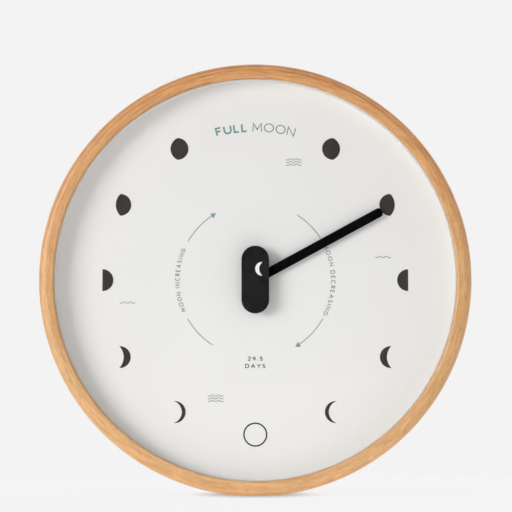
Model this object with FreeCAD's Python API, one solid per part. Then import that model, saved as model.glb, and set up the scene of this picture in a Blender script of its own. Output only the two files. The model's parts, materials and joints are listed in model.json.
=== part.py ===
"""A round moon phase clock: bent beech hoop, white dial, one hand and a battery movement.

While it is built, X is to the right as seen from the front, Z is up, and the origin is the
dial's centre at the hoop's front edge, so that Y is the depth behind that edge. save() then
puts the origin under the middle of the hoop, on the flat that the clock stands on.
"""
import FreeCAD, Part
import math
import os

from FreeCAD import Vector

# Hoop, in millimetres
case_radius = 150.0
case_depth = 45.0
lip_wall = 9.9            # the hoop's width at its front lip
rabbet_depth = 2.5        # how far the rabbet is cut into the hoop, outward from the lip
lip_thickness = 3.5
rim_round = 5.5           # outer front edge
lip_round = 1.6           # inner front edge
rear_round = 1.0
foot_depth = 0.9          # how much is planed off the lowest point

# Clearances
seat_gap = 0.3            # discs in the hoop
running_gap = 0.05        # shafts and pivots in their holes
bolt_gap = 0.1            # screws and necks in their holes

# Lens, spacer and dial
lens_thickness = 2.0
spacer_length = 10.5
spacer_wall = 3.0
sheet_thickness = 0.5
board_thickness = 3.0

# Printed figures on the dial
print_thickness = 0.1
mark_radius = 7.65
mark_circle_radius = 107.5
new_moon_radius = 8.4
print_line = 1.0
arrow_circle_radius = 54.2
arrow_line = 0.55
arrow_head_length = 3.5
arrow_head_width = 4.0
wave_line = 0.36
wave_pitch = 4.4
wave_height = 1.5
wave_row_gap = 2.0
wave_arcs = 5
# turn from the lowest place in degrees, reach on the circle, where the shadow's edge crosses
# the middle of the disc (1 is the lit limb, 0 the centre, -1 the dark limb), and how far the
# horns reach past the disc's middle line
phase_shares = ((31.4, 1.001, 0.65, 0.09), (60.4, 1.010, 0.36, 0.05), (90.0, 0.992, 0.0, 0.0),
                (119.2, 1.005, -0.42, 0.0), (149.4, 0.994, -0.645, 0.0))
# start and end of each arc, as shares of a full turn from the right, and whether it has a head
arrow_turn_shares = ((0.417, 0.3448, True), (0.583, 0.657, False),
                     (0.159, 0.090, False), (-0.082, -0.1542, True))
# place of each wave figure, as shares of the arrow circle's radius, and its rows
wave_place_shares = ((0.497, 1.526, 3), (-0.508, -1.518, 3), (1.646, 0.298, 1), (-1.644, -0.289, 1))

# Hand
hand_turn = 28.6          # degrees above the horizontal, to the right
hand_length = 100.4
hand_width = 6.4
hand_thickness = 0.8
hand_tip_round = 0.9
hand_boss_radius = 6.5
hand_height = 3.2         # from the dial to the hand's rear face
collet_wall = 1.0
collet_flange_radius = 4.6
collet_flange_thickness = 0.5
collet_length = 2.4

# Cover over the hub, on a fixed post
cover_width = 19.2
cover_length = 47.1
cover_thickness = 2.0
cover_bevel = 0.35
cover_lens_gap = 1.0
cover_boss_radius = 3.2
cover_boss_length = 1.3
cover_socket_depth = 1.6
crescent_radius = 4.75
crescent_bite_radius = 5.6
crescent_bite_shift = 3.3
crescent_right = 4.7      # from the cover's middle
crescent_height = 7.4     # above the cover's middle
crescent_inlay = 0.5
post_radius = 0.9

# Movement: casing
casing_wall = 1.2
casing_corner = 3.0
bay_wall = 1.0
lid_lip = 1.0
gasket_radius = 9.0
gasket_thickness = 1.0
post_boss_radius = 1.8
peg_radius = 0.9
boss_radius = 1.6
# how far the gear plate's posts stand from what is next to them, as shares of their radius
post_wall_share = 2.0
post_bay_share = 2.5
post_top_share = 1.6
post_edge_share = 1.2
post_wheel_share = 2.8

# Movement: neck, washer and nut
neck_radius = 4.0
neck_height = 2.6         # in front of the dial
neck_flange_radius = 6.0
neck_flange_thickness = 0.8
washer_radius = 7.0
washer_thickness = 0.5
nut_across_flats = 12.0
nut_thickness = 1.8
board_bore_radius = 4.6

# Movement: wheels
pressure_angle = 20.0
backlash_share = 0.10     # of a tooth's thickness
addendum_share = 0.9
dedendum_share = 1.2
hand_module = 0.5
train_module = 0.3
moon_teeth = 40
hand_pinion_teeth = 16
wheel_teeth = 50
third_teeth = 60
train_pinion_teeth = 15
rotor_teeth = 12
wheel_thickness = 1.0
pinion_overlap = 0.2      # a pinion's length beyond each face of the wheel that it turns
layer_pitch = 2.2
first_layer_gap = 0.5     # between the neck's flange and the first layer
arbor_radius = 1.0
moon_arbor_radius = 2.5
pivot_radius = 0.6
pivot_depth = 0.8
setting_arbor_radius = 1.5
clutch_turn = 150.0       # directions from one arbor to the next, in degrees
setting_turn = 20.0
second_turn = 60.0
first_turn = -10.0
rotor_turn = 0.0
plate_thickness = 1.0
plate_margin = 0.8
plate_coil_gap = 0.9

# Movement: motor
magnet_radius = 3.0
magnet_thickness = 1.4
air_gap = 0.5
stator_thickness = 1.0
stator_ring = 1.8
stator_arm_width = 3.6
coil_wall_gap = 1.3
coil_half_reach = 9.0     # from the rotor's height to each end screw
core_width = 2.4
core_thickness = 1.0
bobbin_length = 11.0
bobbin_flange_radius = 4.0
bobbin_flange = 0.8
bobbin_wall = 0.5
winding_radius = 3.5
motor_screw_radius = 0.8
motor_screw_head_radius = 1.5
motor_screw_head = 0.7
motor_screw_bite = 3.0    # in the casing's post

# Movement: circuit
circuit_width = 19.0
circuit_height = 17.0
circuit_thickness = 0.8
chip_radius = 3.0
chip_height = 0.9
crystal_radius = 1.0
crystal_length = 6.0
capacitor_size = 2.0
capacitor_height = 1.0
chip_round_share = 0.8
# places on the circuit board, as shares of its width and height
chip_spot_shares = (0.5, 0.4)
crystal_spot_shares = (0.4, 0.85)
capacitor_spot_shares = (0.85, 0.25)
lid_room = 0.9            # between the crystal and the lid

# Movement: setting knob
knob_radius = 6.5
knob_thickness = 3.0
knob_gap = 0.4
knob_flutes = 18
flute_radius = 0.6
knob_round = 0.5

# Battery and contacts
cell_radius = 7.25
cell_length = 50.5
cell_nub_radius = 2.6
cell_nub_length = 1.0
cell_round = 0.6
cell_gap = 0.3
contact_thickness = 0.4
contact_width = 9.0
contact_touch_gap = 0.1
contact_reach = 1.45      # from the wall of the bay to the end of the cell
contact_dimple_radius = 1.6
spring_leaf_width = 5.0

# Movement: lid screws
lid_screw_radius = 1.0
lid_screw_length = 6.0
lid_screw_head_radius = 1.9
lid_screw_head = 1.0
lid_post_inset = 2.8
lid_shank_share = 0.9     # of its hole's length
cross_reach_share = 0.6   # of a screw head's radius
cross_width_share = 0.15

# Angles that hold the board
bracket_count = 4
bracket_width = 12.0
bracket_foot = 14.0
bracket_leg = 14.0
bracket_thickness = 1.5
pad_thickness = 1.0
pad_inset = 1.0
wood_screw_radius = 1.4
wood_screw_length = 5.2
wood_screw_head_radius = 2.8
wood_screw_head = 1.5
wood_screw_tip = 2.0
wood_screw_round_share = 0.7
wood_screw_rise = 8.5     # from the bracket's foot

overrun = 1.0             # how far cutting shapes run past the faces that they cut

# Derived places
lip_radius = case_radius - lip_wall
rabbet_radius = lip_radius + rabbet_depth
seat_radius = rabbet_radius - seat_gap
foot_level = case_radius - foot_depth
lens_rear = lip_thickness + lens_thickness
dial_front = lens_rear + spacer_length
sheet_rear = dial_front + sheet_thickness
board_rear = sheet_rear + board_thickness
movement_front = board_rear + gasket_thickness
inner_front = movement_front + casing_wall
inner_half = cell_length / 2 + contact_touch_gap + contact_reach
half_size = inner_half + casing_wall
flange_rear = inner_front + neck_flange_thickness
hand_rear = dial_front - hand_height
hand_front = hand_rear - hand_thickness
cover_front = lens_rear + cover_lens_gap
cover_rear = cover_front + cover_thickness
cell_axis_depth = inner_front + cell_gap + cell_radius
cell_axis_height = -inner_half + cell_gap + cell_radius
bay_ceiling = cell_axis_height + cell_radius + cell_gap
bay_top = bay_ceiling + bay_wall
layer_fronts = [flange_rear + first_layer_gap + layer_pitch * layer for layer in range(4)]
magnet_front = layer_fronts[3] + wheel_thickness + 2 * pinion_overlap
stator_front = magnet_front + (magnet_thickness - stator_thickness) / 2
plate_front = magnet_front + magnet_thickness + pinion_overlap
plate_rear = plate_front + plate_thickness
circuit_rear = plate_rear + circuit_thickness
lid_front = circuit_rear + 2 * crystal_radius + lid_room
movement_rear = lid_front + casing_wall
knob_front = movement_rear + knob_gap
coil_x = inner_half - bobbin_flange_radius - coil_wall_gap
plate_right = coil_x - bobbin_flange_radius - plate_coil_gap


def step_to(start, turn, distance):
    """The place at a distance and direction from another, in the dial's plane."""
    angle = math.radians(turn)
    return (start[0] + distance * math.cos(angle), start[1] + distance * math.sin(angle))


def mesh_distance(module, teeth, other_teeth):
    return module * (teeth + other_teeth) / 2


# Arbors: each place follows from the wheels that mesh there
hub_place = (0.0, 0.0)
hand_mesh = mesh_distance(hand_module, moon_teeth, hand_pinion_teeth)
third_place = step_to(hub_place, clutch_turn, hand_mesh)
setting_place = step_to(hub_place, setting_turn, hand_mesh)
second_place = step_to(third_place, second_turn,
                       mesh_distance(train_module, third_teeth, train_pinion_teeth))
first_place = step_to(second_place, first_turn,
                      mesh_distance(train_module, wheel_teeth, train_pinion_teeth))
rotor_place = step_to(first_place, rotor_turn,
                      mesh_distance(train_module, wheel_teeth, rotor_teeth))
coil_places = [(coil_x, rotor_place[1] + side * coil_half_reach) for side in (-1, 1)]


# Basic shapes

def rod(radius, front, rear, place=(0.0, 0.0)):
    """A round bar along Y."""
    base = Vector(place[0], front, place[1])
    return Part.makeCylinder(radius, rear - front, base, Vector(0, 1, 0))


def tube(outer, inner, front, rear, place=(0.0, 0.0)):
    hole = rod(inner, front - overrun, rear + overrun, place)
    return rod(outer, front, rear, place).cut(hole)


def block(left, right, front, rear, bottom, top):
    return Part.makeBox(right - left, rear - front, top - bottom, Vector(left, front, bottom))


def prism(points, front, rear):
    """A flat outline of (x, z) points, given depth along Y."""
    corners = [Vector(x, front, z) for x, z in points]
    outline = Part.makePolygon(corners + corners[:1])
    return Part.Face(outline).extrude(Vector(0, rear - front, 0))


def solid_of_edges(edges, depth):
    """Joined edges in one plane, given depth along Y."""
    return Part.Face(Part.Wire(edges)).extrude(Vector(0, depth, 0))


def arc(start, middle, end, front):
    ends = [Vector(x, front, z) for x, z in (start, middle, end)]
    return Part.Arc(*ends).toShape()


def line(start, end, front):
    return Part.LineSegment(Vector(start[0], front, start[1]), Vector(end[0], front, end[1])).toShape()


def slot(start, end, width, front, rear):
    """A flat bar with round ends between two places."""
    along = math.degrees(math.atan2(end[1] - start[1], end[0] - start[0]))
    half = width / 2
    edges = []
    for here, there, turn in ((start, end, along - 90), (end, start, along + 90)):
        edges.append(line(step_to(here, turn, half), step_to(there, turn, half), front))
        edges.append(arc(step_to(there, turn, half), step_to(there, turn + 90, half),
                         step_to(there, turn + 180, half), front))
    return solid_of_edges(edges, rear - front)


def sector(radius, width, start, end, front, rear, place=(0.0, 0.0)):
    """A stretch of a flat ring between two directions."""
    outer, inner = radius + width / 2, radius - width / 2
    middle = (start + end) / 2
    edges = [
        arc(step_to(place, start, outer), step_to(place, middle, outer), step_to(place, end, outer), front),
        line(step_to(place, end, outer), step_to(place, end, inner), front),
        arc(step_to(place, end, inner), step_to(place, middle, inner), step_to(place, start, inner), front),
        line(step_to(place, start, inner), step_to(place, start, outer), front),
    ]
    return solid_of_edges(edges, rear - front)


def turned(shape, turn, place=(0.0, 0.0)):
    """The shape turned in the dial's plane, against the clock as seen from the front."""
    copy = shape.copy()
    copy.rotate(Vector(place[0], 0, place[1]), Vector(0, -1, 0), turn)
    return copy


def joined(shapes):
    whole = shapes[0].fuse(shapes[1:]) if len(shapes) > 1 else shapes[0]
    return whole.removeSplitter()


def save(name, shapes):
    """Write one piece, or a group of like pieces, in the frame of the finished clock."""
    whole = Part.makeCompound(shapes) if isinstance(shapes, list) else shapes
    whole = whole.copy()
    whole.translate(Vector(0, -case_depth / 2, foot_level))
    if not whole.isValid() or not whole.Solids:
        raise ValueError(name + " is not a valid solid")
    whole.exportStep("parts/" + name + ".step")
    print(name, len(whole.Solids), "solids", round(whole.Volume, 1), "mm3")


# Wheels

def gear_points(teeth, module, phase):
    """Outline of an involute gear about the origin; phase is the direction of one tooth."""
    pitch = module * teeth / 2
    base = pitch * math.cos(math.radians(pressure_angle))
    root = pitch - dedendum_share * module
    tip = pitch + addendum_share * module
    radii = (root, max(base, root), pitch, tip)
    half_tooth = math.pi / (2 * teeth) * (1 - backlash_share)

    def involute(radius):
        angle = math.acos(min(base / radius, 1.0))
        return math.tan(angle) - angle

    flank = [(radius, half_tooth + involute(pitch) - involute(max(radius, base))) for radius in radii]
    points = []
    for tooth in range(teeth):
        middle = math.radians(phase) + 2 * math.pi * tooth / teeth
        for radius, spread in flank:
            points.append((radius * math.cos(middle - spread), radius * math.sin(middle - spread)))
        for radius, spread in reversed(flank):
            points.append((radius * math.cos(middle + spread), radius * math.sin(middle + spread)))
    return points


def gear(teeth, module, place, phase, front, rear):
    points = [(place[0] + x, place[1] + z) for x, z in gear_points(teeth, module, phase)]
    return prism(points, front, rear)


def meshed_phase(teeth, phase, other_teeth, turn):
    """Direction of a tooth of the other gear, which lies in direction turn from this one."""
    return turn + 180 + 180 / other_teeth - (phase - turn) * teeth / other_teeth


moon_phase_turn = 0.0
clutch_phase = meshed_phase(moon_teeth, moon_phase_turn, hand_pinion_teeth, clutch_turn)
setting_phase = meshed_phase(moon_teeth, moon_phase_turn, hand_pinion_teeth, setting_turn)
third_phase = 0.0
second_phase = meshed_phase(third_teeth, third_phase, train_pinion_teeth, second_turn)
first_phase = meshed_phase(wheel_teeth, second_phase, train_pinion_teeth, first_turn)
rotor_phase = meshed_phase(wheel_teeth, first_phase, rotor_teeth, rotor_turn)


def pinion_span(layer):
    """Depths between which a pinion lies that turns the wheel of this layer."""
    front = layer_fronts[layer]
    return front - pinion_overlap, front + wheel_thickness + pinion_overlap


def train_wheel(place, wheel_size, wheel_phase, wheel_layer, pinion_phase):
    """A moulded wheel with its pinion, one layer nearer the front, and a pivot at each end."""
    pinion_front, pinion_rear = pinion_span(wheel_layer - 1)
    wheel_front = layer_fronts[wheel_layer]
    wheel_rear = wheel_front + wheel_thickness
    return joined([
        gear(train_pinion_teeth, train_module, place, pinion_phase, pinion_front, pinion_rear),
        rod(arbor_radius, pinion_rear, wheel_front, place),
        gear(wheel_size, train_module, place, wheel_phase, wheel_front, wheel_rear),
        rod(arbor_radius, wheel_rear, plate_front - running_gap, place),
        rod(pivot_radius, pinion_front - pivot_depth, pinion_front, place),
        rod(pivot_radius, plate_front - running_gap, plate_rear, place),
    ])


# Hoop and front

def quarter(centre, start, end):
    """A quarter circle of a turned profile; all points are (radius, depth)."""
    reach = Vector(start[0] + end[0] - 2 * centre[0], start[1] + end[1] - 2 * centre[1], 0)
    radius = math.hypot(start[0] - centre[0], start[1] - centre[1])
    middle = Vector(centre[0], centre[1], 0) + reach.normalize() * radius
    return Part.Arc(Vector(start[0], start[1], 0), middle, Vector(end[0], end[1], 0)).toShape()


def straight(start, end):
    return Part.LineSegment(Vector(start[0], start[1], 0), Vector(end[0], end[1], 0)).toShape()


def bracket_turns():
    return [(index + 0.5) * 360 / bracket_count for index in range(bracket_count)]


def wood_screw_place():
    return board_rear + pad_thickness + wood_screw_rise


def case_hoop():
    inner_front_corner = (lip_radius, lip_round)
    front_inner = (lip_radius + lip_round, 0.0)
    front_outer = (case_radius - rim_round, 0.0)
    outer_front = (case_radius, rim_round)
    outer_rear = (case_radius, case_depth - rear_round)
    rear_outer = (case_radius - rear_round, case_depth)
    rear_inner = (rabbet_radius + rear_round, case_depth)
    inner_rear = (rabbet_radius, case_depth - rear_round)
    profile = Part.Wire([
        quarter((lip_radius + lip_round, lip_round), inner_front_corner, front_inner),
        straight(front_inner, front_outer),
        quarter((case_radius - rim_round, rim_round), front_outer, outer_front),
        straight(outer_front, outer_rear),
        quarter((case_radius - rear_round, case_depth - rear_round), outer_rear, rear_outer),
        straight(rear_outer, rear_inner),
        quarter((rabbet_radius + rear_round, case_depth - rear_round), rear_inner, inner_rear),
        straight(inner_rear, (rabbet_radius, lip_thickness)),
        straight((rabbet_radius, lip_thickness), (lip_radius, lip_thickness)),
        straight((lip_radius, lip_thickness), inner_front_corner),
    ])
    hoop = Part.Face(profile).revolve(Vector(0, 0, 0), Vector(0, 1, 0), 360)
    below = block(-case_radius, case_radius, -overrun, case_depth + overrun,
                  -case_radius - overrun, -foot_level)
    hoop = hoop.cut(below)
    pilot = Part.makeCylinder(wood_screw_radius + bolt_gap, wood_screw_length + overrun,
                              Vector(rabbet_radius - overrun, wood_screw_place(), 0), Vector(1, 0, 0))
    return hoop.cut([turned(pilot, turn) for turn in bracket_turns()])


def lens():
    return rod(seat_radius, lip_thickness, lens_rear)


def spacer_ring():
    return tube(seat_radius, seat_radius - spacer_wall, lens_rear, dial_front)


def dial_face():
    return tube(seat_radius, board_bore_radius, dial_front, sheet_rear)


def dial_board():
    return tube(seat_radius, board_bore_radius, sheet_rear, board_rear)


# Printed figures

def phase_figure(place, lit_side, edge_share, horn_share):
    """The lit part of the disc: its limb on one side, the shadow's edge on the other."""
    front = dial_front - print_thickness
    horn_across = place[0] - lit_side * horn_share * mark_radius
    horn_rise = math.sqrt(mark_radius * mark_radius * (1 - horn_share * horn_share))
    top = (horn_across, place[1] + horn_rise)
    bottom = (horn_across, place[1] - horn_rise)
    limb = (place[0] + lit_side * mark_radius, place[1])
    edges = [arc(top, limb, bottom, front)]
    if edge_share:
        shadow_edge = (place[0] + lit_side * edge_share * mark_radius, place[1])
        edges.append(arc(bottom, shadow_edge, top, front))
    else:
        edges.append(line(bottom, top, front))
    return solid_of_edges(edges, print_thickness)


def moon_phase_marks():
    lowest = -90.0
    front = dial_front - print_thickness
    figures = [tube(new_moon_radius, new_moon_radius - print_line, front, dial_front,
                    step_to(hub_place, lowest, mark_circle_radius))]
    for turn, reach_share, edge_share, horn_share in phase_shares:
        for side in (-1, 1):
            place = step_to(hub_place, lowest + side * turn, mark_circle_radius * reach_share)
            figures.append(phase_figure(place, -side, edge_share, horn_share))
    return figures


def direction_arrows():
    front = dial_front - print_thickness
    pieces = []
    for start_share, end_share, has_head in arrow_turn_shares:
        start, end = 360 * start_share, 360 * end_share
        line_arc = sector(arrow_circle_radius, arrow_line, start, end, front, dial_front)
        if has_head:
            way = -90.0 if end < start else 90.0
            root = step_to(hub_place, end, arrow_circle_radius)
            tip = step_to(root, end + way, arrow_head_length)
            sides = [step_to(root, end + half_turn, arrow_head_width / 2) for half_turn in (0, 180)]
            line_arc = joined([line_arc, prism([sides[0], tip, sides[1]], front, dial_front)])
        pieces.append(line_arc)
    return pieces


def wave_row(place):
    """Hollows and crests drawn as arcs, one after the other; the first and last are hollows."""
    front = dial_front - print_thickness
    half = wave_pitch / 2
    radius = (half * half / 4 + wave_height * wave_height / 4) / wave_height
    sink = radius - wave_height / 2
    spread = math.degrees(math.asin(half / 2 / radius))
    pieces = []
    for index in range(wave_arcs):
        side = -1 if index % 2 == 0 else 1
        centre = (place[0] + (index - (wave_arcs - 1) / 2) * half, place[1] - side * sink)
        pieces.append(sector(radius, wave_line, side * 90 - spread, side * 90 + spread,
                             front, dial_front, centre))
    return joined(pieces)


def wave_marks():
    rows = []
    for right_share, up_share, count in wave_place_shares:
        for row in range(count):
            rise = (row - (count - 1) / 2) * wave_row_gap
            rows.append(wave_row((right_share * arrow_circle_radius,
                                  up_share * arrow_circle_radius + rise)))
    return rows


# Hand and cover

def moon_hand():
    """A straight bar with a round boss; built pointing right, then turned."""
    half = hand_width / 2
    bar = block(0, hand_length, hand_front, hand_rear, -half, half)
    tips = [edge for edge in bar.Edges
            if edge.BoundBox.XMin > hand_length - overrun and edge.BoundBox.YLength > hand_thickness / 2]
    bar = bar.makeFillet(hand_tip_round, tips)
    boss = rod(hand_boss_radius, hand_front, hand_rear)
    bore = rod(moon_arbor_radius + collet_wall, hand_front - overrun, hand_rear + overrun)
    return turned(joined([bar, boss]).cut(bore), hand_turn)


def hand_collet():
    rear = hand_rear + collet_flange_thickness / 2
    front = rear - collet_length
    flange = rod(collet_flange_radius, hand_front - collet_flange_thickness, hand_front)
    pipe = rod(moon_arbor_radius + collet_wall, front, rear)
    bore = rod(moon_arbor_radius + running_gap, front - overrun, rear + overrun)
    return joined([pipe, flange]).cut(bore)


def crescent_outline():
    """Place of the two horns, and the middle points of the outer and the inner arc."""
    across = (crescent_radius ** 2 - crescent_bite_radius ** 2 + crescent_bite_shift ** 2)
    across = across / (2 * crescent_bite_shift)
    rise = math.sqrt(crescent_radius ** 2 - across ** 2)
    horns = [(crescent_right + across, crescent_height + side * rise) for side in (1, -1)]
    outer = (crescent_right - crescent_radius, crescent_height)
    inner = (crescent_right + crescent_bite_shift - crescent_bite_radius, crescent_height)
    return horns, outer, inner


def crescent_solid():
    horns, outer, inner = crescent_outline()
    edges = [arc(horns[0], outer, horns[1], cover_front), arc(horns[1], inner, horns[0], cover_front)]
    return solid_of_edges(edges, crescent_inlay)


def center_cover():
    half_run = (cover_length - cover_width) / 2
    plate = slot((0, -half_run), (0, half_run), cover_width, cover_front, cover_rear)
    rim = [edge for edge in plate.Edges if edge.BoundBox.YMax < cover_front + cover_bevel / 2]
    plate = plate.makeChamfer(cover_bevel, rim)
    boss = rod(cover_boss_radius, cover_rear, cover_rear + cover_boss_length)
    boss_rear = cover_rear + cover_boss_length
    socket = rod(post_radius + running_gap, boss_rear - cover_socket_depth, boss_rear + overrun)
    return joined([plate, boss]).cut([socket, crescent_solid()])


def center_post():
    """The fixed pin inside the hand's arbor, from the gear plate to the cover."""
    front = cover_rear + cover_boss_length - cover_socket_depth
    return rod(post_radius, front, plate_rear)


# Movement: neck and fastening

def threaded_neck():
    neck = rod(neck_radius, dial_front - neck_height, flange_rear)
    flange = rod(neck_flange_radius, inner_front, flange_rear)
    bore = rod(moon_arbor_radius + running_gap, dial_front - neck_height - overrun, flange_rear + overrun)
    return joined([neck, flange]).cut(bore)


def front_washer():
    return tube(washer_radius, neck_radius + bolt_gap, dial_front - washer_thickness, dial_front)


def fixing_nut():
    corner = nut_across_flats / 2 / math.cos(math.radians(30))
    rear = dial_front - washer_thickness
    front = rear - nut_thickness
    body = prism([step_to(hub_place, 60 * index, corner) for index in range(6)], front, rear)
    cone = Part.makeCone(nut_across_flats / 2, nut_across_flats / 2 + nut_thickness, nut_thickness,
                         Vector(0, front, 0), Vector(0, 1, 0))
    return body.common(cone).cut(rod(neck_radius + bolt_gap, front - overrun, rear + overrun))


def rubber_washer():
    return tube(gasket_radius, neck_radius + bolt_gap, board_rear, movement_front)


# Movement: casing

def rounded_box(half, front, rear, corner):
    box = block(-half, half, front, rear, -half, half)
    corners = [edge for edge in box.Edges if edge.BoundBox.YLength > (rear - front) / 2]
    return box.makeFillet(corner, corners)


def lid_screw_places():
    right = half_size - lid_post_inset
    return [(-right, right), (right, right), (-right, bay_top + lid_post_inset), (right, bay_top + lid_post_inset)]


def plate_post_places():
    """Where the gear plate stands on pegs, clear of the wheels."""
    left = -inner_half + post_wall_share * post_boss_radius
    right = plate_right - post_edge_share * post_boss_radius
    low = bay_top + post_bay_share * post_boss_radius
    top = inner_half - post_top_share * post_boss_radius
    return [(left, top), (left + post_wall_share * post_boss_radius, low), (right, low),
            (first_place[0] + post_wheel_share * post_boss_radius, top)]


def front_pivots():
    """Place and depth of each front pivot, from the wall of the casing."""
    return [(second_place, pinion_span(1)[0]), (first_place, pinion_span(2)[0]),
            (rotor_place, pinion_span(3)[0]), (third_place, pinion_span(0)[0]),
            (setting_place, pinion_span(0)[0])]


def front_casing():
    shell = rounded_box(half_size, movement_front, lid_front, casing_corner)
    hollow = rounded_box(inner_half, inner_front, lid_front + overrun, casing_corner - casing_wall)
    shell = shell.cut(hollow)
    added = [block(-inner_half, inner_half, inner_front, lid_front, bay_ceiling, bay_top)]
    added += [rod(post_boss_radius, inner_front, lid_front, place) for place in lid_screw_places()]
    for place in plate_post_places():
        added.append(rod(post_boss_radius, inner_front, plate_front, place))
        added.append(rod(peg_radius, plate_front, plate_rear, place))
    for place, pinion_front in front_pivots():
        added.append(rod(boss_radius, inner_front, pinion_front - running_gap, place))
    added += [rod(post_boss_radius, inner_front, stator_front - core_thickness, place)
              for place in coil_places]
    shell = joined([shell] + added)
    cuts = [rod(neck_radius + bolt_gap, movement_front - overrun, inner_front + overrun)]
    for place, pinion_front in front_pivots():
        cuts.append(rod(pivot_radius + running_gap, pinion_front - pivot_depth - running_gap,
                        pinion_front, place))
    cuts += [rod(lid_screw_radius, lid_front - lid_screw_length, lid_front + overrun, place)
             for place in lid_screw_places()]
    cuts += [rod(motor_screw_radius, motor_screw_tip(), stator_front, place) for place in coil_places]
    return shell.cut(cuts)


def rear_casing():
    """The movement's lid: a plate with a locating lip, which leaves the battery bay open."""
    plate = rounded_box(half_size, lid_front, movement_rear, casing_corner)
    lip = rounded_box(inner_half - running_gap, lid_front - lid_lip, lid_front, casing_corner - casing_wall)
    core = rounded_box(inner_half - casing_wall, lid_front - lid_lip - overrun, lid_front,
                       casing_corner - casing_wall)
    lip = lip.cut(core)
    below = block(-2 * half_size, 2 * half_size, movement_front, movement_rear + overrun,
                  -2 * half_size, bay_ceiling)
    lip_below = block(-2 * half_size, 2 * half_size, movement_front, lid_front,
                      -2 * half_size, bay_top + running_gap)
    lip = lip.cut([lip_below] + [rod(post_boss_radius + bolt_gap, movement_front, lid_front, place)
                                 for place in lid_screw_places()])
    lid = joined([plate.cut(below), lip])
    cuts = [rod(setting_arbor_radius + bolt_gap, lid_front - overrun, movement_rear + overrun, setting_place)]
    for place in lid_screw_places():
        cuts.append(rod(lid_screw_radius + bolt_gap, lid_front - overrun, movement_rear + overrun, place))
    return lid.cut(cuts)


def cross_arms(head_radius):
    """Half sizes of the two slots of a cross recess."""
    reach, narrow = cross_reach_share * head_radius, cross_width_share * head_radius
    return [(reach, narrow), (narrow, reach)]


def casing_screws():
    screws = []
    for place in lid_screw_places():
        head = rod(lid_screw_head_radius, movement_rear, movement_rear + lid_screw_head, place)
        cross = [block(place[0] - across, place[0] + across, movement_rear + lid_screw_head / 2,
                       movement_rear + lid_screw_head + overrun, place[1] - up, place[1] + up)
                 for across, up in cross_arms(lid_screw_head_radius)]
        shank = rod(lid_screw_radius, lid_front - lid_screw_length * lid_shank_share, movement_rear, place)
        screws.append(joined([head, shank]).cut(cross))
    return screws


def gear_plate():
    bottom = bay_top + plate_margin
    plate = block(-inner_half + plate_margin, plate_right, plate_front, plate_rear,
                  bottom, inner_half - plate_margin)
    cuts = [rod(post_boss_radius + bolt_gap, plate_front - overrun, plate_rear + overrun, place)
            for place in lid_screw_places()]
    for place in (third_place, second_place, first_place, rotor_place):
        cuts.append(rod(pivot_radius + running_gap, plate_front - overrun, plate_rear + overrun, place))
    cuts.append(rod(setting_arbor_radius + running_gap, plate_front - overrun, plate_rear + overrun,
                    setting_place))
    cuts.append(rod(post_radius, plate_front - overrun, plate_rear + overrun))
    cuts += [rod(peg_radius, plate_front - overrun, plate_rear + overrun, place)
             for place in plate_post_places()]
    return plate.cut(cuts)


# Movement: wheels

def moon_wheel():
    """The hand's wheel and its hollow arbor, which runs in the neck and round the post."""
    front = dial_front - hand_height - collet_length
    wheel_front = layer_fronts[0]
    wheel = gear(moon_teeth, hand_module, hub_place, moon_phase_turn, wheel_front,
                 wheel_front + wheel_thickness)
    arbor = rod(moon_arbor_radius, front, plate_front - running_gap)
    bore = rod(post_radius + running_gap, front - overrun, plate_front + overrun)
    return joined([wheel, arbor]).cut(bore)


def clutch_pinion():
    front, rear = pinion_span(0)
    pinion = gear(hand_pinion_teeth, hand_module, third_place, clutch_phase, front, rear)
    return pinion.cut(rod(arbor_radius + running_gap, front - overrun, rear + overrun, third_place))


def third_wheel():
    pinion_front, pinion_rear = pinion_span(0)
    wheel_front = layer_fronts[1]
    wheel_rear = wheel_front + wheel_thickness
    return joined([
        rod(pivot_radius, pinion_front - pivot_depth, pinion_front, third_place),
        rod(arbor_radius, pinion_front, wheel_front, third_place),
        gear(third_teeth, train_module, third_place, third_phase, wheel_front, wheel_rear),
        rod(arbor_radius, wheel_rear, plate_front - running_gap, third_place),
        rod(pivot_radius, plate_front - running_gap, plate_rear, third_place),
    ])


def second_wheel():
    return train_wheel(second_place, wheel_teeth, second_phase, 2, second_phase)


def first_wheel():
    return train_wheel(first_place, wheel_teeth, first_phase, 3, first_phase)


def rotor_pinion():
    front, rear = pinion_span(3)
    return joined([
        rod(pivot_radius, front - pivot_depth, front, rotor_place),
        gear(rotor_teeth, train_module, rotor_place, rotor_phase, front, rear),
        rod(arbor_radius, rear, magnet_front + magnet_thickness, rotor_place),
        rod(pivot_radius, magnet_front + magnet_thickness, plate_rear, rotor_place),
    ])


def rotor_magnet():
    return tube(magnet_radius, arbor_radius, magnet_front, magnet_front + magnet_thickness, rotor_place)


def setting_arbor():
    front, rear = pinion_span(0)
    return joined([
        rod(pivot_radius, front - pivot_depth, front, setting_place),
        gear(hand_pinion_teeth, hand_module, setting_place, setting_phase, front, rear),
        rod(setting_arbor_radius, rear, knob_front + knob_thickness / 2, setting_place),
    ])


def setting_knob():
    knob = rod(knob_radius, knob_front, knob_front + knob_thickness, setting_place)
    knob = knob.makeFillet(knob_round, knob.Edges)
    cuts = [rod(flute_radius, knob_front - overrun, knob_front + knob_thickness + overrun,
                step_to(setting_place, index * 360 / knob_flutes, knob_radius))
            for index in range(knob_flutes)]
    cuts.append(rod(setting_arbor_radius, knob_front - overrun, knob_front + knob_thickness / 2,
                    setting_place))
    return knob.cut(cuts)


# Movement: motor

def motor_screw_tip():
    return stator_front - core_thickness - motor_screw_bite


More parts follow.
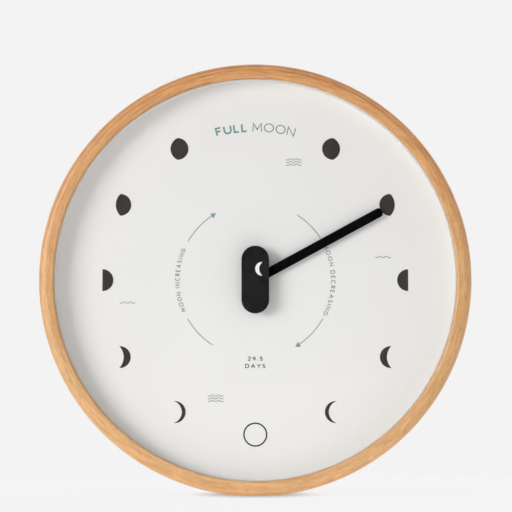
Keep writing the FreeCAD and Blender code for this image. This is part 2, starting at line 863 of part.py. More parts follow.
def stator():
    rear = stator_front + stator_thickness
    ring = rod(magnet_radius + air_gap + stator_ring, stator_front, rear, rotor_place)
    arms = []
    for place in coil_places:
        elbow = (coil_x - bobbin_flange_radius - air_gap, place[1])
        arms.append(slot(rotor_place, elbow, stator_arm_width, stator_front, rear))
        arms.append(slot(elbow, place, stator_arm_width, stator_front, rear))
    cuts = [rod(magnet_radius + air_gap, stator_front - overrun, rear + overrun, rotor_place)]
    cuts += [rod(motor_screw_radius, stator_front - overrun, rear + overrun, place) for place in coil_places]
    return joined([ring] + arms).cut(cuts)


def coil_core():
    front = stator_front - core_thickness
    low, high = coil_places
    bar = slot(low, high, core_width + 2 * motor_screw_radius, front, stator_front)
    waist_bottom = low[1] + core_width
    waist_top = high[1] - core_width
    sides = [block(coil_x + side * core_width - core_width / 2, coil_x + side * core_width + core_width / 2,
                   front - overrun, stator_front + overrun, waist_bottom, waist_top) for side in (-1, 1)]
    holes = [rod(motor_screw_radius, front - overrun, stator_front + overrun, place) for place in coil_places]
    return bar.cut(sides + holes)


def coil_depth():
    return stator_front - core_thickness / 2


def upright_rod(radius, bottom, top):
    """A round bar along Z, about the coil's axis."""
    return Part.makeCylinder(radius, top - bottom, Vector(coil_x, coil_depth(), bottom), Vector(0, 0, 1))


def core_hole(wall):
    half_width, half_depth = core_width / 2 + wall, core_thickness / 2 + wall
    middle = rotor_place[1]
    return block(coil_x - half_width, coil_x + half_width, coil_depth() - half_depth,
                 coil_depth() + half_depth, middle - bobbin_length, middle + bobbin_length)


def spool_radius():
    return math.hypot(core_width / 2, core_thickness / 2) + bobbin_wall


def coil_bobbin():
    bottom = rotor_place[1] - bobbin_length / 2
    top = rotor_place[1] + bobbin_length / 2
    spool = upright_rod(spool_radius(), bottom, top)
    flanges = [upright_rod(bobbin_flange_radius, bottom, bottom + bobbin_flange),
               upright_rod(bobbin_flange_radius, top - bobbin_flange, top)]
    return joined([spool] + flanges).cut(core_hole(0.0))


def coil_winding():
    bottom = rotor_place[1] - bobbin_length / 2 + bobbin_flange
    top = rotor_place[1] + bobbin_length / 2 - bobbin_flange
    hollow = upright_rod(spool_radius(), bottom - overrun, top + overrun)
    return upright_rod(winding_radius, bottom, top).cut(hollow)


def motor_screws():
    screws = []
    for place in coil_places:
        rear = stator_front + stator_thickness
        head = rod(motor_screw_head_radius, rear, rear + motor_screw_head, place)
        shank = rod(motor_screw_radius, motor_screw_tip(), rear, place)
        screws.append(joined([head, shank]))
    return screws


# Movement: circuit

def circuit_corner():
    """Lower left corner of the circuit board, on the gear plate."""
    return (-inner_half + 2 * plate_margin, inner_half - 2 * plate_margin - circuit_height)


def circuit_spot(right_share, up_share):
    left, bottom = circuit_corner()
    return (left + right_share * circuit_width, bottom + up_share * circuit_height)


def circuit_board():
    left, bottom = circuit_corner()
    board = block(left, left + circuit_width, plate_rear, circuit_rear, bottom, bottom + circuit_height)
    post = lid_screw_places()[0]
    return board.cut(rod(post_boss_radius + bolt_gap, plate_rear - overrun, circuit_rear + overrun, post))


def driver_chip():
    place = circuit_spot(*chip_spot_shares)
    lump = rod(chip_radius, circuit_rear, circuit_rear + chip_height, place)
    rim = [edge for edge in lump.Edges if edge.BoundBox.YMin > circuit_rear + chip_height / 2]
    return lump.makeFillet(chip_height * chip_round_share, rim)


def quartz_crystal():
    place = circuit_spot(*crystal_spot_shares)
    base = Vector(place[0], circuit_rear + crystal_radius, place[1])
    return Part.makeCylinder(crystal_radius, crystal_length, base, Vector(1, 0, 0))


def capacitor():
    place = circuit_spot(*capacitor_spot_shares)
    half = capacitor_size / 2
    return block(place[0] - half, place[0] + half, circuit_rear, circuit_rear + capacitor_height,
                 place[1] - half, place[1] + half)


# Battery

def cell_bar(radius, left, right):
    """A round bar along X, about the battery's axis."""
    return Part.makeCylinder(radius, right - left, Vector(left, cell_axis_depth, cell_axis_height),
                             Vector(1, 0, 0))


def battery_cell():
    left = -cell_length / 2
    right = cell_length / 2
    can = cell_bar(cell_radius, left, right - cell_nub_length)
    ends = [edge for edge in can.Edges if edge.BoundBox.XLength < cell_round]
    can = can.makeFillet(cell_round, ends)
    return joined([can, cell_bar(cell_nub_radius, right - cell_nub_length, right)])


def contact_plate(side):
    """A flat contact against the end wall of the bay."""
    wall = side * inner_half
    face = side * (inner_half - contact_thickness)
    half = contact_width / 2
    return block(min(wall, face), max(wall, face), cell_axis_depth - half, cell_axis_depth + half,
                 cell_axis_height - half, cell_axis_height + half)


def positive_contact():
    reach = cell_length / 2 + contact_touch_gap
    dimple = cell_bar(contact_dimple_radius, reach, inner_half - contact_thickness)
    return joined([contact_plate(1), dimple])


def negative_contact():
    """A plate with a bent leaf that presses on the cell's flat end."""
    face = -inner_half + contact_thickness
    reach = -cell_length / 2 - contact_touch_gap
    half = spring_leaf_width / 2
    low = cell_axis_height - contact_width / 2
    outline = [(face, low), (face, low + contact_thickness), (reach - contact_thickness, cell_axis_height),
               (face, low + contact_width - contact_thickness), (face, low + contact_width),
               (reach, cell_axis_height + contact_thickness), (reach, cell_axis_height - contact_thickness)]
    leaf = prism(outline, cell_axis_depth - half, cell_axis_depth + half)
    return joined([contact_plate(-1), leaf])


# Angles that hold the board

def along_x(radius, left, right, depth):
    return Part.makeCylinder(radius, right - left, Vector(left, depth, 0), Vector(1, 0, 0))


def bracket():
    half = bracket_width / 2
    front = board_rear + pad_thickness
    foot = block(rabbet_radius - bracket_foot, rabbet_radius, front, front + bracket_thickness, -half, half)
    leg = block(rabbet_radius - bracket_thickness - seat_gap, rabbet_radius, front, front + bracket_leg,
                -half, half)
    outside = rod(rabbet_radius, front, front + bracket_leg)
    hole = along_x(wood_screw_radius + bolt_gap, rabbet_radius - bracket_foot, rabbet_radius + overrun,
                   wood_screw_place())
    return joined([foot, leg]).common(outside).cut(hole)


def wood_screw():
    seat = rabbet_radius - bracket_thickness - seat_gap
    depth = wood_screw_place()
    tip = rabbet_radius + wood_screw_length - overrun
    head = along_x(wood_screw_head_radius, seat - wood_screw_head, seat, depth)
    rim = [edge for edge in head.Edges if edge.BoundBox.XMax < seat - wood_screw_head / 2]
    head = head.makeFillet(wood_screw_head * wood_screw_round_share, rim)
    shank = along_x(wood_screw_radius, seat, tip - wood_screw_tip, depth)
    point = Part.makeCone(wood_screw_radius, wood_screw_radius / 4, wood_screw_tip,
                          Vector(tip - wood_screw_tip, depth, 0), Vector(1, 0, 0))
    cross = [block(seat - wood_screw_head - overrun, seat - wood_screw_head / 2, depth - along,
                   depth + along, -across, across)
             for along, across in cross_arms(wood_screw_head_radius)]
    return joined([head, shank, point]).cut(cross)


def bracket_pad():
    half = bracket_width / 2 - pad_inset
    return block(rabbet_radius - bracket_foot + pad_inset, seat_radius - pad_inset,
                 board_rear, board_rear + pad_thickness, -half, half)


def around_hoop(shape):
    return [turned(shape, turn) for turn in bracket_turns()]


pieces = {
    "case_hoop": case_hoop,
    "lens": lens,
    "spacer_ring": spacer_ring,
    "dial_face": dial_face,
    "dial_board": dial_board,
    "moon_phase_marks": moon_phase_marks,
    "direction_arrows": direction_arrows,
    "wave_marks": wave_marks,
    "moon_hand": moon_hand,
    "hand_collet": hand_collet,
    "center_cover": center_cover,
    "cover_crescent": crescent_solid,
    "center_post": center_post,
    "threaded_neck": threaded_neck,
    "front_washer": front_washer,
    "fixing_nut": fixing_nut,
    "rubber_washer": rubber_washer,
    "front_casing": front_casing,
    "rear_casing": rear_casing,
    "casing_screws": casing_screws,
    "gear_plate": gear_plate,
    "moon_wheel": moon_wheel,
    "clutch_pinion": clutch_pinion,
    "third_wheel": third_wheel,
    "second_wheel": second_wheel,
    "first_wheel": first_wheel,
    "rotor_pinion": rotor_pinion,
    "rotor_magnet": rotor_magnet,
    "setting_arbor": setting_arbor,
    "setting_knob": setting_knob,
    "stator": stator,
    "coil_core": coil_core,
    "coil_bobbin": coil_bobbin,
    "coil_winding": coil_winding,
    "motor_screws": motor_screws,
    "circuit_board": circuit_board,
    "driver_chip": driver_chip,
    "quartz_crystal": quartz_crystal,
    "capacitor": capacitor,
    "battery_cell": battery_cell,
    "positive_contact": positive_contact,
    "negative_contact": negative_contact,
    "retaining_brackets": lambda: around_hoop(bracket()),
    "bracket_screws": lambda: around_hoop(wood_screw()),
    "bracket_pads": lambda: around_hoop(bracket_pad()),
}

os.makedirs("parts", exist_ok=True)
for name, make in pieces.items():
    save(name, make())
print("hub height", round(foot_level, 3), "dial front", round(dial_front - case_depth / 2, 3))
for label, place in (("third", third_place), ("second", second_place), ("first", first_place),
                     ("rotor", rotor_place), ("setting", setting_place)):
    print(label, "arbor at x", round(place[0], 4), "z", round(place[1] + foot_level, 4))
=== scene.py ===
import json
import math

import bpy
import numpy as np
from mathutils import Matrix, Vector


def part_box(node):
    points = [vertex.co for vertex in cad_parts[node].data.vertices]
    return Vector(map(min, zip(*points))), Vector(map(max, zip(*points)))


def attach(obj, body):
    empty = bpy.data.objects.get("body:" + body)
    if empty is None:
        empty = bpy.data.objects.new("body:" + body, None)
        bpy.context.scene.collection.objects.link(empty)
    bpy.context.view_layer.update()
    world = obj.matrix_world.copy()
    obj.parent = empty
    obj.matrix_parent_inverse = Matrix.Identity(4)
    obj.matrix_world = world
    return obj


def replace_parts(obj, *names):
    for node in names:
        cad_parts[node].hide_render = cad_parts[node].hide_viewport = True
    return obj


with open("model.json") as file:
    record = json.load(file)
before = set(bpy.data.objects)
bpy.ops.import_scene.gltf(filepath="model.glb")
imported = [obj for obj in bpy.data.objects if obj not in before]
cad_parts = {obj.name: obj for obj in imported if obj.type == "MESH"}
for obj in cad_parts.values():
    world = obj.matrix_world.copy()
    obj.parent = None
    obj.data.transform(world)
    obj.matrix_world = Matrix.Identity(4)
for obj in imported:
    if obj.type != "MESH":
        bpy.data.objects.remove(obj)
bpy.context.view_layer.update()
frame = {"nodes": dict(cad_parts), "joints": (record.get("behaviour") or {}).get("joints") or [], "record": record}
nodes = frame["nodes"]
pivots = {joint["name"]: joint["pos_m"] for joint in frame["joints"] if "pos_m" in joint}
hub, knobHub = Vector(pivots["hand_turn"]), Vector(pivots["setting_turn"])
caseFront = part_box("case_hoop")[0].y
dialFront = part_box("dial_face")[0].y
print("Frame loaded with", len(nodes), "CAD nodes")


# Meshes: every new piece is worked out as arrays of points, then put in with its faces.

# Six times the volume is the sum over triangles of the first corner dotted with the cross of the others.
def enclosedVolume(points, faces):
    total = 0.0
    for group in faces:
        corners = points[group]
        for second in range(1, group.shape[1] - 1):
            total += np.einsum("ij,ij->", corners[:, 0], np.cross(corners[:, second], corners[:, second + 1]))
    return total / 6


def newObject(name, data):
    made = bpy.data.objects.new(name, data)
    bpy.context.scene.collection.objects.link(made)
    return made


# A mesh with its finish, body and slot. Its faces are turned round where the volume comes out negative.
def makePiece(name, points, faces, material, body, sharpAngle=35):
    if enclosedVolume(points, faces) < 0:
        faces = [group[:, ::-1] for group in faces]
    mesh = bpy.data.meshes.new(name)
    mesh.from_pydata(points.tolist(), [], [face for group in faces for face in group.tolist()])
    mesh.materials.append(material)
    mesh.shade_smooth()
    mesh.set_sharp_from_angle(angle=math.radians(sharpAngle))
    piece = newObject(name, mesh)
    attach(piece, body)
    return piece


# Faces of a grid of rows and columns: each joins a point to the next in its row and in its column.
def gridFaces(rows, columns, wrapRows=False, wrapColumns=False):
    row = np.arange(rows if wrapRows else rows - 1)[:, None]
    column = np.arange(columns if wrapColumns else columns - 1)[None, :]
    nextRow, nextColumn = (row + 1) % rows, (column + 1) % columns
    corners = (row * columns + column, row * columns + nextColumn,
               nextRow * columns + nextColumn, nextRow * columns + column)
    return np.stack(np.broadcast_arrays(*corners), axis=-1).reshape(-1, 4)


# Points from their two or three ways, each an array or one value for all.
def pointsAt(*ways):
    return np.column_stack(np.broadcast_arrays(*ways))


# Points of an arc: the centre plus the reach, one for both ways or one each, times cosine and sine of
# an even run of angles.
def arcPoints(centre, reach, start, end, steps=18):
    turn = np.radians(np.linspace(start, end, steps))
    return np.asarray(centre) + np.asarray(reach) * pointsAt(np.cos(turn), np.sin(turn))


# Materials: small builders shared by the finishes. Noise lies nearly always within its span.

noiseSpan = (0.3, 0.7)


# An input is linked where it gets another node's output, and else it gets a fixed value.
def fill(tree, target, inputs):
    for socket, value in inputs.items():
        if isinstance(value, bpy.types.NodeSocket):
            tree.links.new(value, target.inputs[socket])
        else:
            target.inputs[socket].default_value = value


def node(tree, kind, inputs=None, **settings):
    made = tree.nodes.new("ShaderNode" + kind)
    for setting, value in settings.items():
        setattr(made, setting, value)
    fill(tree, made, inputs or {})
    return made


def mathNode(tree, operation, *values):
    return node(tree, "Math", dict(enumerate(values)), operation=operation).outputs[0]


def times(tree, first, second):
    return mathNode(tree, "MULTIPLY", first, second)


def vectorNode(tree, operation, *values):
    return node(tree, "VectorMath", dict(enumerate(values)), operation=operation)


# How far a place is from the middle that it is given from.
def lengthOf(tree, vector):
    return vectorNode(tree, "LENGTH", vector).outputs["Value"]


# A material with its tree and its one shader, which is metal or shiny as its look says.
def newFinish(name, look):
    material = bpy.data.materials.new(name)
    material.use_nodes = True
    tree = material.node_tree
    shader = tree.nodes["Principled BSDF"]
    fill(tree, shader, {"Metallic": look.get("metallic", 0.0),
                        "Specular IOR Level": look.get("specular", 0.5)})
    return material, tree, shader


# Object coordinates from a middle point, stretched by a scale for each axis.
def placeFrom(tree, middle=(0, 0, 0), scale=(1, 1, 1)):
    coordinates = node(tree, "TexCoord").outputs["Object"]
    centred = vectorNode(tree, "SUBTRACT", coordinates, tuple(middle)).outputs[0]
    return vectorNode(tree, "MULTIPLY", centred, tuple(scale)).outputs[0]


# Noise at a place times a scale; with w it is the four-way noise at that fourth coordinate.
def noiseAt(tree, vector, scale, detail=2.0, roughness=0.5, w=None):
    inputs = {"Vector": vector, "Scale": scale, "Detail": detail, "Roughness": roughness}
    if w is None:
        return node(tree, "TexNoise", inputs, noise_dimensions="3D").outputs[0]
    return node(tree, "TexNoise", {**inputs, "W": w}, noise_dimensions="4D").outputs[0]


# A value carried from one range to another, in proportion or eased, and held at that range's ends.
def spread(tree, value, fromLow, fromHigh, toLow, toHigh, way="LINEAR"):
    inputs = {0: value, 1: fromLow, 2: fromHigh, 3: toLow, 4: toHigh}
    return node(tree, "MapRange", inputs, interpolation_type=way, clamp=True).outputs[0]


# The first colour goes over into the second by the share. With MULTIPLY it goes over into their product.
def mixColours(tree, share, first, second, blend="MIX"):
    first, second = (colour if isinstance(colour, bpy.types.NodeSocket) else (*colour, 1)
                     for colour in (first, second))
    inputs = {0: share, 6: first, 7: second}
    return node(tree, "Mix", inputs, data_type="RGBA", blend_type=blend).outputs[2]


# A colour times one number.
def scaleColour(tree, colour, share):
    return node(tree, "VectorMath", {0: colour, "Scale": share}, operation="SCALE").outputs[0]


# A shader's colour and roughness, and dents as deep as a distance where the height goes from 0 to 1.
def coat(tree, shader, colour, roughness, height, dent):
    bump = node(tree, "Bump", {"Height": height, "Distance": dent, "Strength": 1.0}).outputs[0]
    fill(tree, shader, {"Base Color": colour, "Roughness": roughness, "Normal": bump})


# A finish with no direction: two tones in soft patches, and a fine grain that roughens and dents it.
# Far along one way from the hub it may fade into another tone, as painted light or shade, and round two
# spots it may have one of its own, by the distance to the nearer spot.
def speckledFinish(name, look):
    material, tree, shader = newFinish(name, look)
    vector = placeFrom(tree)
    patches = spread(tree, noiseAt(tree, vector, 1 / look["patch"], 3.0), *noiseSpan, 0.0, 1.0)
    grain = noiseAt(tree, vector, 1 / look["grain"], 3.0, 0.6)
    tone = mixColours(tree, patches, *look["tones"])
    # Painted light or shade: along one way from the hub the tone goes over into a lighter or darker one.
    if "topShadingTone" in look:
        rise = vectorNode(tree, "DOT_PRODUCT", placeFrom(tree, hub), look["shadingWay"]).outputs["Value"]
        tone = mixColours(tree, spread(tree, rise, *look["shadingRise"], 0.0, 1.0), tone, look["topShadingTone"])
    if "spots" in look:
        distances = [lengthOf(tree, placeFrom(tree, place)) for place in look["spots"]]
        near = spread(tree, mathNode(tree, "MINIMUM", *distances), *look["spotEdge"], 1.0, 0.0)
        tone = mixColours(tree, near, tone, look["spotTone"])
    shade = spread(tree, grain, *noiseSpan, 1 - look["contrast"], 1 + look["contrast"])
    gloss = spread(tree, grain, *noiseSpan, *look["roughness"])
    coat(tree, shader, scaleColour(tree, tone, shade), gloss, grain, look["dent"])
    return material


# A finish turned on a lathe: fine rings by the distance from the axis that runs back through a middle
# point, on two soft tones.
def turnedFinish(name, look, middle):
    material, tree, shader = newFinish(name, look)
    across = lengthOf(tree, placeFrom(tree, middle, (1, 0, 1)))
    rings = noiseAt(tree, node(tree, "CombineXYZ", {0: across}).outputs[0], 1 / look["ring"])
    patches = noiseAt(tree, placeFrom(tree), 1 / look["patch"])
    tone = mixColours(tree, spread(tree, patches, *noiseSpan, 0.0, 1.0), *look["tones"])
    coat(tree, shader, tone, spread(tree, rings, *noiseSpan, *look["roughness"]), rings, look["dent"])
    return material


# Hoop of bent beech: its section, and the tones and shares of its wood. An edge, a rise or a start is the
# range in which a share goes from none to all, and a shade is a range of brightness. Each grain has its
# sizes along and across the hoop, its detail and its seed.
hoop = dict(
    outerRadius=0.150, lipRadius=0.1397, rabbetRadius=0.1426, lipThickness=0.0035, depth=0.045,
    frontRound=0.0055, lipRound=0.0016, rearRound=0.001, roundSteps=12, turnSteps=720,
    # The top tone is painted shade: towards the top the hoop goes over into it, darker and more saturated, as less
    # light falls on the top.
    paleTone=(0.722, 0.422, 0.186), warmTone=(0.636, 0.342, 0.130), topShadingTone=(0.705, 0.340, 0.114),
    ringTone=(0.430, 0.130, 0.024), fleckTone=(0.500, 0.225, 0.078), streakTone=(0.80, 0.62, 0.42),
    topRise=(-0.06, 0.13), topShadingShare=0.85, patchEdge=(0.34, 0.66),
    ringWidth=0.0036, ringPlace=0.1461, ringLean=0.55, ringDrift=0.0018, ringsBefore=50, ringSharpness=4.0,
    ringFall=0.12, ringRise=(0.3, 1.0), ringShares=(0.06, 0.95), ringStart=(0.1434, 0.1452), innerRings=0.2,
    fleckEdge=(0.56, 0.68), fleckShare=0.52, streakEdge=(0.30, 0.50), streakShare=0.95, lowStreaks=0.45,
    glowEdge=(0.5, 0.7), streakShade=(0.99, 1.13), fibreShade=(0.87, 1.13),
    roughness=(0.40, 0.52), specular=0.76, fibreDent=0.00003,
    grains=dict(drift=(0.11, 0.030, 1.0, 3.1), patches=(0.050, 0.0035, 2.0, 1.7),
                streaks=(0.012, 0.00105, 2.0, 5.3), fibres=(0.0060, 0.00064, 2.0, 21.4),
                flecks=(0.0042, 0.00062, 1.0, 12.9)),
)


# A solid grain bent round with the wood: along the hoop the place in its plane changes slowly, and
# across it the radius and the depth change fast, as the third and fourth coordinate of one noise.
def bentGrain(tree, centred, radius, depth, alongSize, acrossSize, detail, seed):
    parts = node(tree, "SeparateXYZ", {0: centred}).outputs
    vector = node(tree, "CombineXYZ", {
        0: mathNode(tree, "DIVIDE", parts[0], alongSize),
        1: mathNode(tree, "DIVIDE", parts[2], alongSize),
        2: mathNode(tree, "DIVIDE", radius, acrossSize),
    }).outputs[0]
    layer = mathNode(tree, "ADD", mathNode(tree, "DIVIDE", depth, acrossSize), seed)
    return noiseAt(tree, vector, 1.0, detail, 0.55, w=layer)


# Growth rings are a saw wave of the radius, leaning back with the depth and drifting with slow noise:
# each darkens slowly outwards and ends at once. They show more towards the top of the hoop.
def beechFinish():
    h = hoop
    material, tree, shader = newFinish("beech", h)
    centred = placeFrom(tree, (hub.x, caseFront, hub.z))
    radius = lengthOf(tree, vectorNode(tree, "MULTIPLY", centred, (1, 0, 1)).outputs[0])
    depth, height = node(tree, "SeparateXYZ", {0: centred}).outputs[1:3]

    def grain(name):
        return bentGrain(tree, centred, radius, depth, *h["grains"][name])

    drift = times(tree, mathNode(tree, "SUBTRACT", grain("drift"), 0.5), 2 * h["ringDrift"])
    lean = times(tree, depth, h["ringLean"])
    layers = mathNode(tree, "ADD", mathNode(tree, "ADD", radius, lean), drift)
    across = mathNode(tree, "SUBTRACT", layers, h["ringPlace"])
    count = mathNode(tree, "ADD", mathNode(tree, "DIVIDE", across, h["ringWidth"]), h["ringsBefore"])
    phase = mathNode(tree, "FRACT", count)
    ring = mathNode(tree, "MAXIMUM", mathNode(tree, "POWER", phase, h["ringSharpness"]),
                    spread(tree, phase, 0.0, h["ringFall"], 1.0, 0.0))
    rise = spread(tree, height, *h["topRise"], 0.0, 1.0)
    ringShare = times(tree, ring, spread(tree, rise, *h["ringRise"], *h["ringShares"]))
    inner = spread(tree, layers, *h["ringStart"], h["innerRings"], 1.0)
    ringShare = times(tree, ringShare, inner)
    patches = spread(tree, grain("patches"), *h["patchEdge"], 0.0, 1.0)
    tone = mixColours(tree, patches, h["paleTone"], h["warmTone"])
    # Painted shade: towards the top the wood goes over into the darker top tone.
    tone = mixColours(tree, times(tree, rise, h["topShadingShare"]), tone, h["topShadingTone"])
    tone = mixColours(tree, ringShare, tone, h["ringTone"])
    streaks, fibres = grain("streaks"), grain("fibres")
    flecks = spread(tree, grain("flecks"), *h["fleckEdge"], 0.0, h["fleckShare"])
    tone = mixColours(tree, flecks, tone, h["fleckTone"])
    darkShare = times(tree, spread(tree, streaks, *h["streakEdge"], h["streakShare"], 0.0),
                      spread(tree, rise, 0.0, 1.0, h["lowStreaks"], 1.0))
    tone = mixColours(tree, darkShare, tone, h["streakTone"], "MULTIPLY")
    shade = times(tree, spread(tree, streaks, *h["glowEdge"], *h["streakShade"]),
                  spread(tree, fibres, *noiseSpan, *h["fibreShade"]))
    gloss = spread(tree, fibres, *noiseSpan, *h["roughness"])
    relief = mathNode(tree, "SUBTRACT", fibres, flecks)
    coat(tree, shader, scaleColour(tree, tone, shade), gloss, relief, h["fibreDent"])
    return material


# The hoop's section as radius and depth behind the front, walked once round.
def hoopProfile():
    h, steps = hoop, hoop["roundSteps"]
    lip, front, rear = h["lipRound"], h["frontRound"], h["rearRound"]
    return np.vstack((
        [(h["lipRadius"], h["lipThickness"])],
        arcPoints((h["lipRadius"] + lip, lip), lip, 180, 270, steps),
        arcPoints((h["outerRadius"] - front, front), front, 270, 360, steps),
        arcPoints((h["outerRadius"] - rear, h["depth"] - rear), rear, 0, 90, steps),
        arcPoints((h["rabbetRadius"] + rear, h["depth"] - rear), rear, 90, 180, steps),
        [(h["rabbetRadius"], h["lipThickness"])],
    ))


# The section is carried round the hub: x and z are the radius times sine and cosine of the turn.
# What would reach below the ground is planed off level with it.
def bendHoop():
    profile = hoopProfile()
    turn = np.linspace(0, 2 * np.pi, hoop["turnSteps"], endpoint=False)[:, None]
    points = np.stack((
        hub.x + profile[:, 0] * np.sin(turn),
        np.broadcast_to(caseFront + profile[:, 1], (len(turn), len(profile))),
        np.maximum(hub.z + profile[:, 0] * np.cos(turn), 0.0),
    ), axis=-1)
    faces = gridFaces(len(turn), len(profile), wrapRows=True, wrapColumns=True)
    piece = makePiece("bent_hoop", points.reshape(-1, 3), [faces], beechFinish(), "clock_case")
    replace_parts(piece, "case_hoop")


bendHoop()
print("Hoop bent")


# Lens: clear, with a coating that hardly reflects
lens = dict(tint=(0.996, 0.996, 0.994), ior=1.07, roughness=0.02, wipes=14.0, wipeEdge=(0.35, 0.65))


# The way of each ray chooses the shader: lamps shine straight through, and all else meets the glass.
def lensFinish():
    material, tree, shader = newFinish("clear_lens", lens)
    wipes = noiseAt(tree, placeFrom(tree, hub, (1, 1, 3)), lens["wipes"], 3.0)
    gloss = spread(tree, wipes, *lens["wipeEdge"], 0.0, lens["roughness"])
    fill(tree, shader, {"Base Color": (*lens["tint"], 1), "IOR": lens["ior"], "Transmission Weight": 1.0,
                        "Roughness": gloss})
    passing = node(tree, "BsdfTransparent", {"Color": (*lens["tint"], 1)})
    paths = node(tree, "LightPath").outputs
    lampRays = mathNode(tree, "MAXIMUM", paths["Is Shadow Ray"], paths["Is Diffuse Ray"])
    mixed = node(tree, "MixShader", {0: lampRays, 1: shader.outputs[0], 2: passing.outputs[0]})
    tree.links.new(mixed.outputs[0], tree.nodes["Material Output"].inputs["Surface"])
    return material


# Arrowheads: their circle, the turns of their bases, and the way from there to their middles
arrows = dict(radius=0.0542, turns=(124.13, -55.51), along=0.0012)


# The middle of an arrowhead: on its circle at its turn, then a little way back along it.
def arrowHead(turn):
    turn = math.radians(turn)
    across = arrows["radius"] * math.cos(turn) + arrows["along"] * math.sin(turn)
    rise = arrows["radius"] * math.sin(turn) - arrows["along"] * math.cos(turn)
    return (hub.x + across, dialFront, hub.z + rise)


# Dial sheet: warm white, printed matte, with a fine tooth
dialSheet = dict(tones=[(0.844, 0.841, 0.834), (0.860, 0.857, 0.850)], patch=0.060, grain=0.00035,
                 contrast=0.012, roughness=(0.78, 0.90), dent=0.000006, specular=0.25)

# Inks, coats, moulded parts and metals: tones, patch and grain sizes in metres, roughness, dent depth
ink = dict(patch=0.004, grain=0.0004, contrast=0.10, roughness=(0.75, 0.95), dent=0.000006, specular=0.2)
metal = dict(patch=0.003, grain=0.0003, contrast=0.06, dent=0.00001, metallic=1.0)
speckledLooks = dict(
    # Towards the upper left the ring goes over into a paler tone: painted light, as the dial's bounce lights it
    # there.
    white_ring=dict(tones=[(0.700, 0.650, 0.590), (0.730, 0.680, 0.620)], patch=0.02, grain=0.0006,
                    contrast=0.02, roughness=(0.55, 0.70), dent=0.00001,
                    shadingWay=(-0.5, 0, 0.866), shadingRise=(0.05, 0.13), topShadingTone=(0.850, 0.810, 0.760)),
    dial_white=dialSheet,
    dark_ink=dict(ink, tones=[(0.036, 0.032, 0.026), (0.047, 0.042, 0.035)], patch=0.006, grain=0.00045,
                  contrast=0.12, dent=0.000008),
    teal_ink=dict(ink, tones=[(0.160, 0.305, 0.270), (0.190, 0.335, 0.300)]),
    wave_grey=dict(ink, tones=[(0.120, 0.175, 0.155), (0.145, 0.200, 0.180)], contrast=0.08, dent=0.000004),
    side_teal=dict(ink, tones=[(0.050, 0.130, 0.106), (0.075, 0.155, 0.131)]),
    label_grey=dict(ink, tones=[(0.135, 0.215, 0.195), (0.165, 0.245, 0.225)]),
    arrow_grey=dict(ink, tones=[(0.240, 0.260, 0.245), (0.275, 0.295, 0.280)], contrast=0.08, dent=0.000004,
                    spots=[arrowHead(turn) for turn in arrows["turns"]],
                    spotEdge=(0.0024, 0.0026), spotTone=(0.190, 0.330, 0.320)),
    black_metal=dict(tones=[(0.0008, 0.0008, 0.0008), (0.0014, 0.0014, 0.0014)], patch=0.01, grain=0.0003,
                     contrast=0.15, roughness=(0.80, 0.95), dent=0.000008, specular=0.03),
    cover_black=dict(tones=[(0.0024, 0.0024, 0.0025), (0.0118, 0.0118, 0.0120)], patch=0.007, grain=0.0007,
                     contrast=0.22, roughness=(0.60, 0.85), dent=0.00004, specular=0.12),
    crescent_white=dict(tones=[(0.92, 0.93, 0.91), (0.95, 0.96, 0.94)], patch=0.004, grain=0.0004,
                        contrast=0.02, roughness=(0.5, 0.65), dent=0.00001),
    rubber=dict(tones=[(0.020, 0.020, 0.020), (0.032, 0.032, 0.031)], patch=0.004, grain=0.0005,
                contrast=0.15, roughness=(0.75, 0.95), dent=0.00004, specular=0.3),
    casing_black=dict(tones=[(0.016, 0.016, 0.017), (0.023, 0.023, 0.024)], patch=0.010, grain=0.00042,
                      contrast=0.18, roughness=(0.42, 0.62), dent=0.00005),
    gear_white=dict(tones=[(0.76, 0.75, 0.69), (0.83, 0.82, 0.77)], patch=0.003, grain=0.0003,
                    contrast=0.03, roughness=(0.38, 0.52), dent=0.00001),
    gear_green=dict(tones=[(0.16, 0.38, 0.25), (0.21, 0.46, 0.31)], patch=0.002, grain=0.0003,
                    contrast=0.05, roughness=(0.38, 0.52), dent=0.00001),
    magnet_grey=dict(tones=[(0.080, 0.080, 0.086), (0.125, 0.125, 0.130)], patch=0.001, grain=0.00015,
                     contrast=0.25, roughness=(0.55, 0.80), dent=0.00002, metallic=0.7),
    soft_iron=dict(metal, tones=[(0.42, 0.42, 0.42), (0.56, 0.56, 0.55)], patch=0.004, contrast=0.10,
                   roughness=(0.35, 0.55)),
    bobbin_amber=dict(tones=[(0.55, 0.30, 0.08), (0.64, 0.37, 0.11)], patch=0.002, grain=0.0003,
                      contrast=0.06, roughness=(0.35, 0.50), dent=0.00001),
    chip_black=dict(tones=[(0.010, 0.010, 0.010), (0.018, 0.018, 0.018)], patch=0.002, grain=0.0002,
                    contrast=0.10, roughness=(0.12, 0.25), dent=0.00001),
    crystal_can=dict(metal, tones=[(0.66, 0.66, 0.67), (0.78, 0.78, 0.79)], patch=0.002, grain=0.0002,
                     roughness=(0.12, 0.28), dent=0.000005),
    capacitor_tan=dict(tones=[(0.44, 0.31, 0.18), (0.54, 0.39, 0.24)], patch=0.001, grain=0.0002,
                       contrast=0.08, roughness=(0.45, 0.60), dent=0.00001),
    contact_nickel=dict(metal, tones=[(0.62, 0.60, 0.54), (0.74, 0.72, 0.66)], roughness=(0.18, 0.34)),
    steel=dict(metal, tones=[(0.52, 0.52, 0.51), (0.66, 0.66, 0.66)], grain=0.0005, contrast=0.10,
               roughness=(0.28, 0.46), dent=0.00002),
)
brassLook = dict(tones=[(0.66, 0.47, 0.19), (0.78, 0.58, 0.27)], patch=0.004, ring=0.00025,
                 roughness=(0.22, 0.38), dent=0.00001, metallic=1.0)


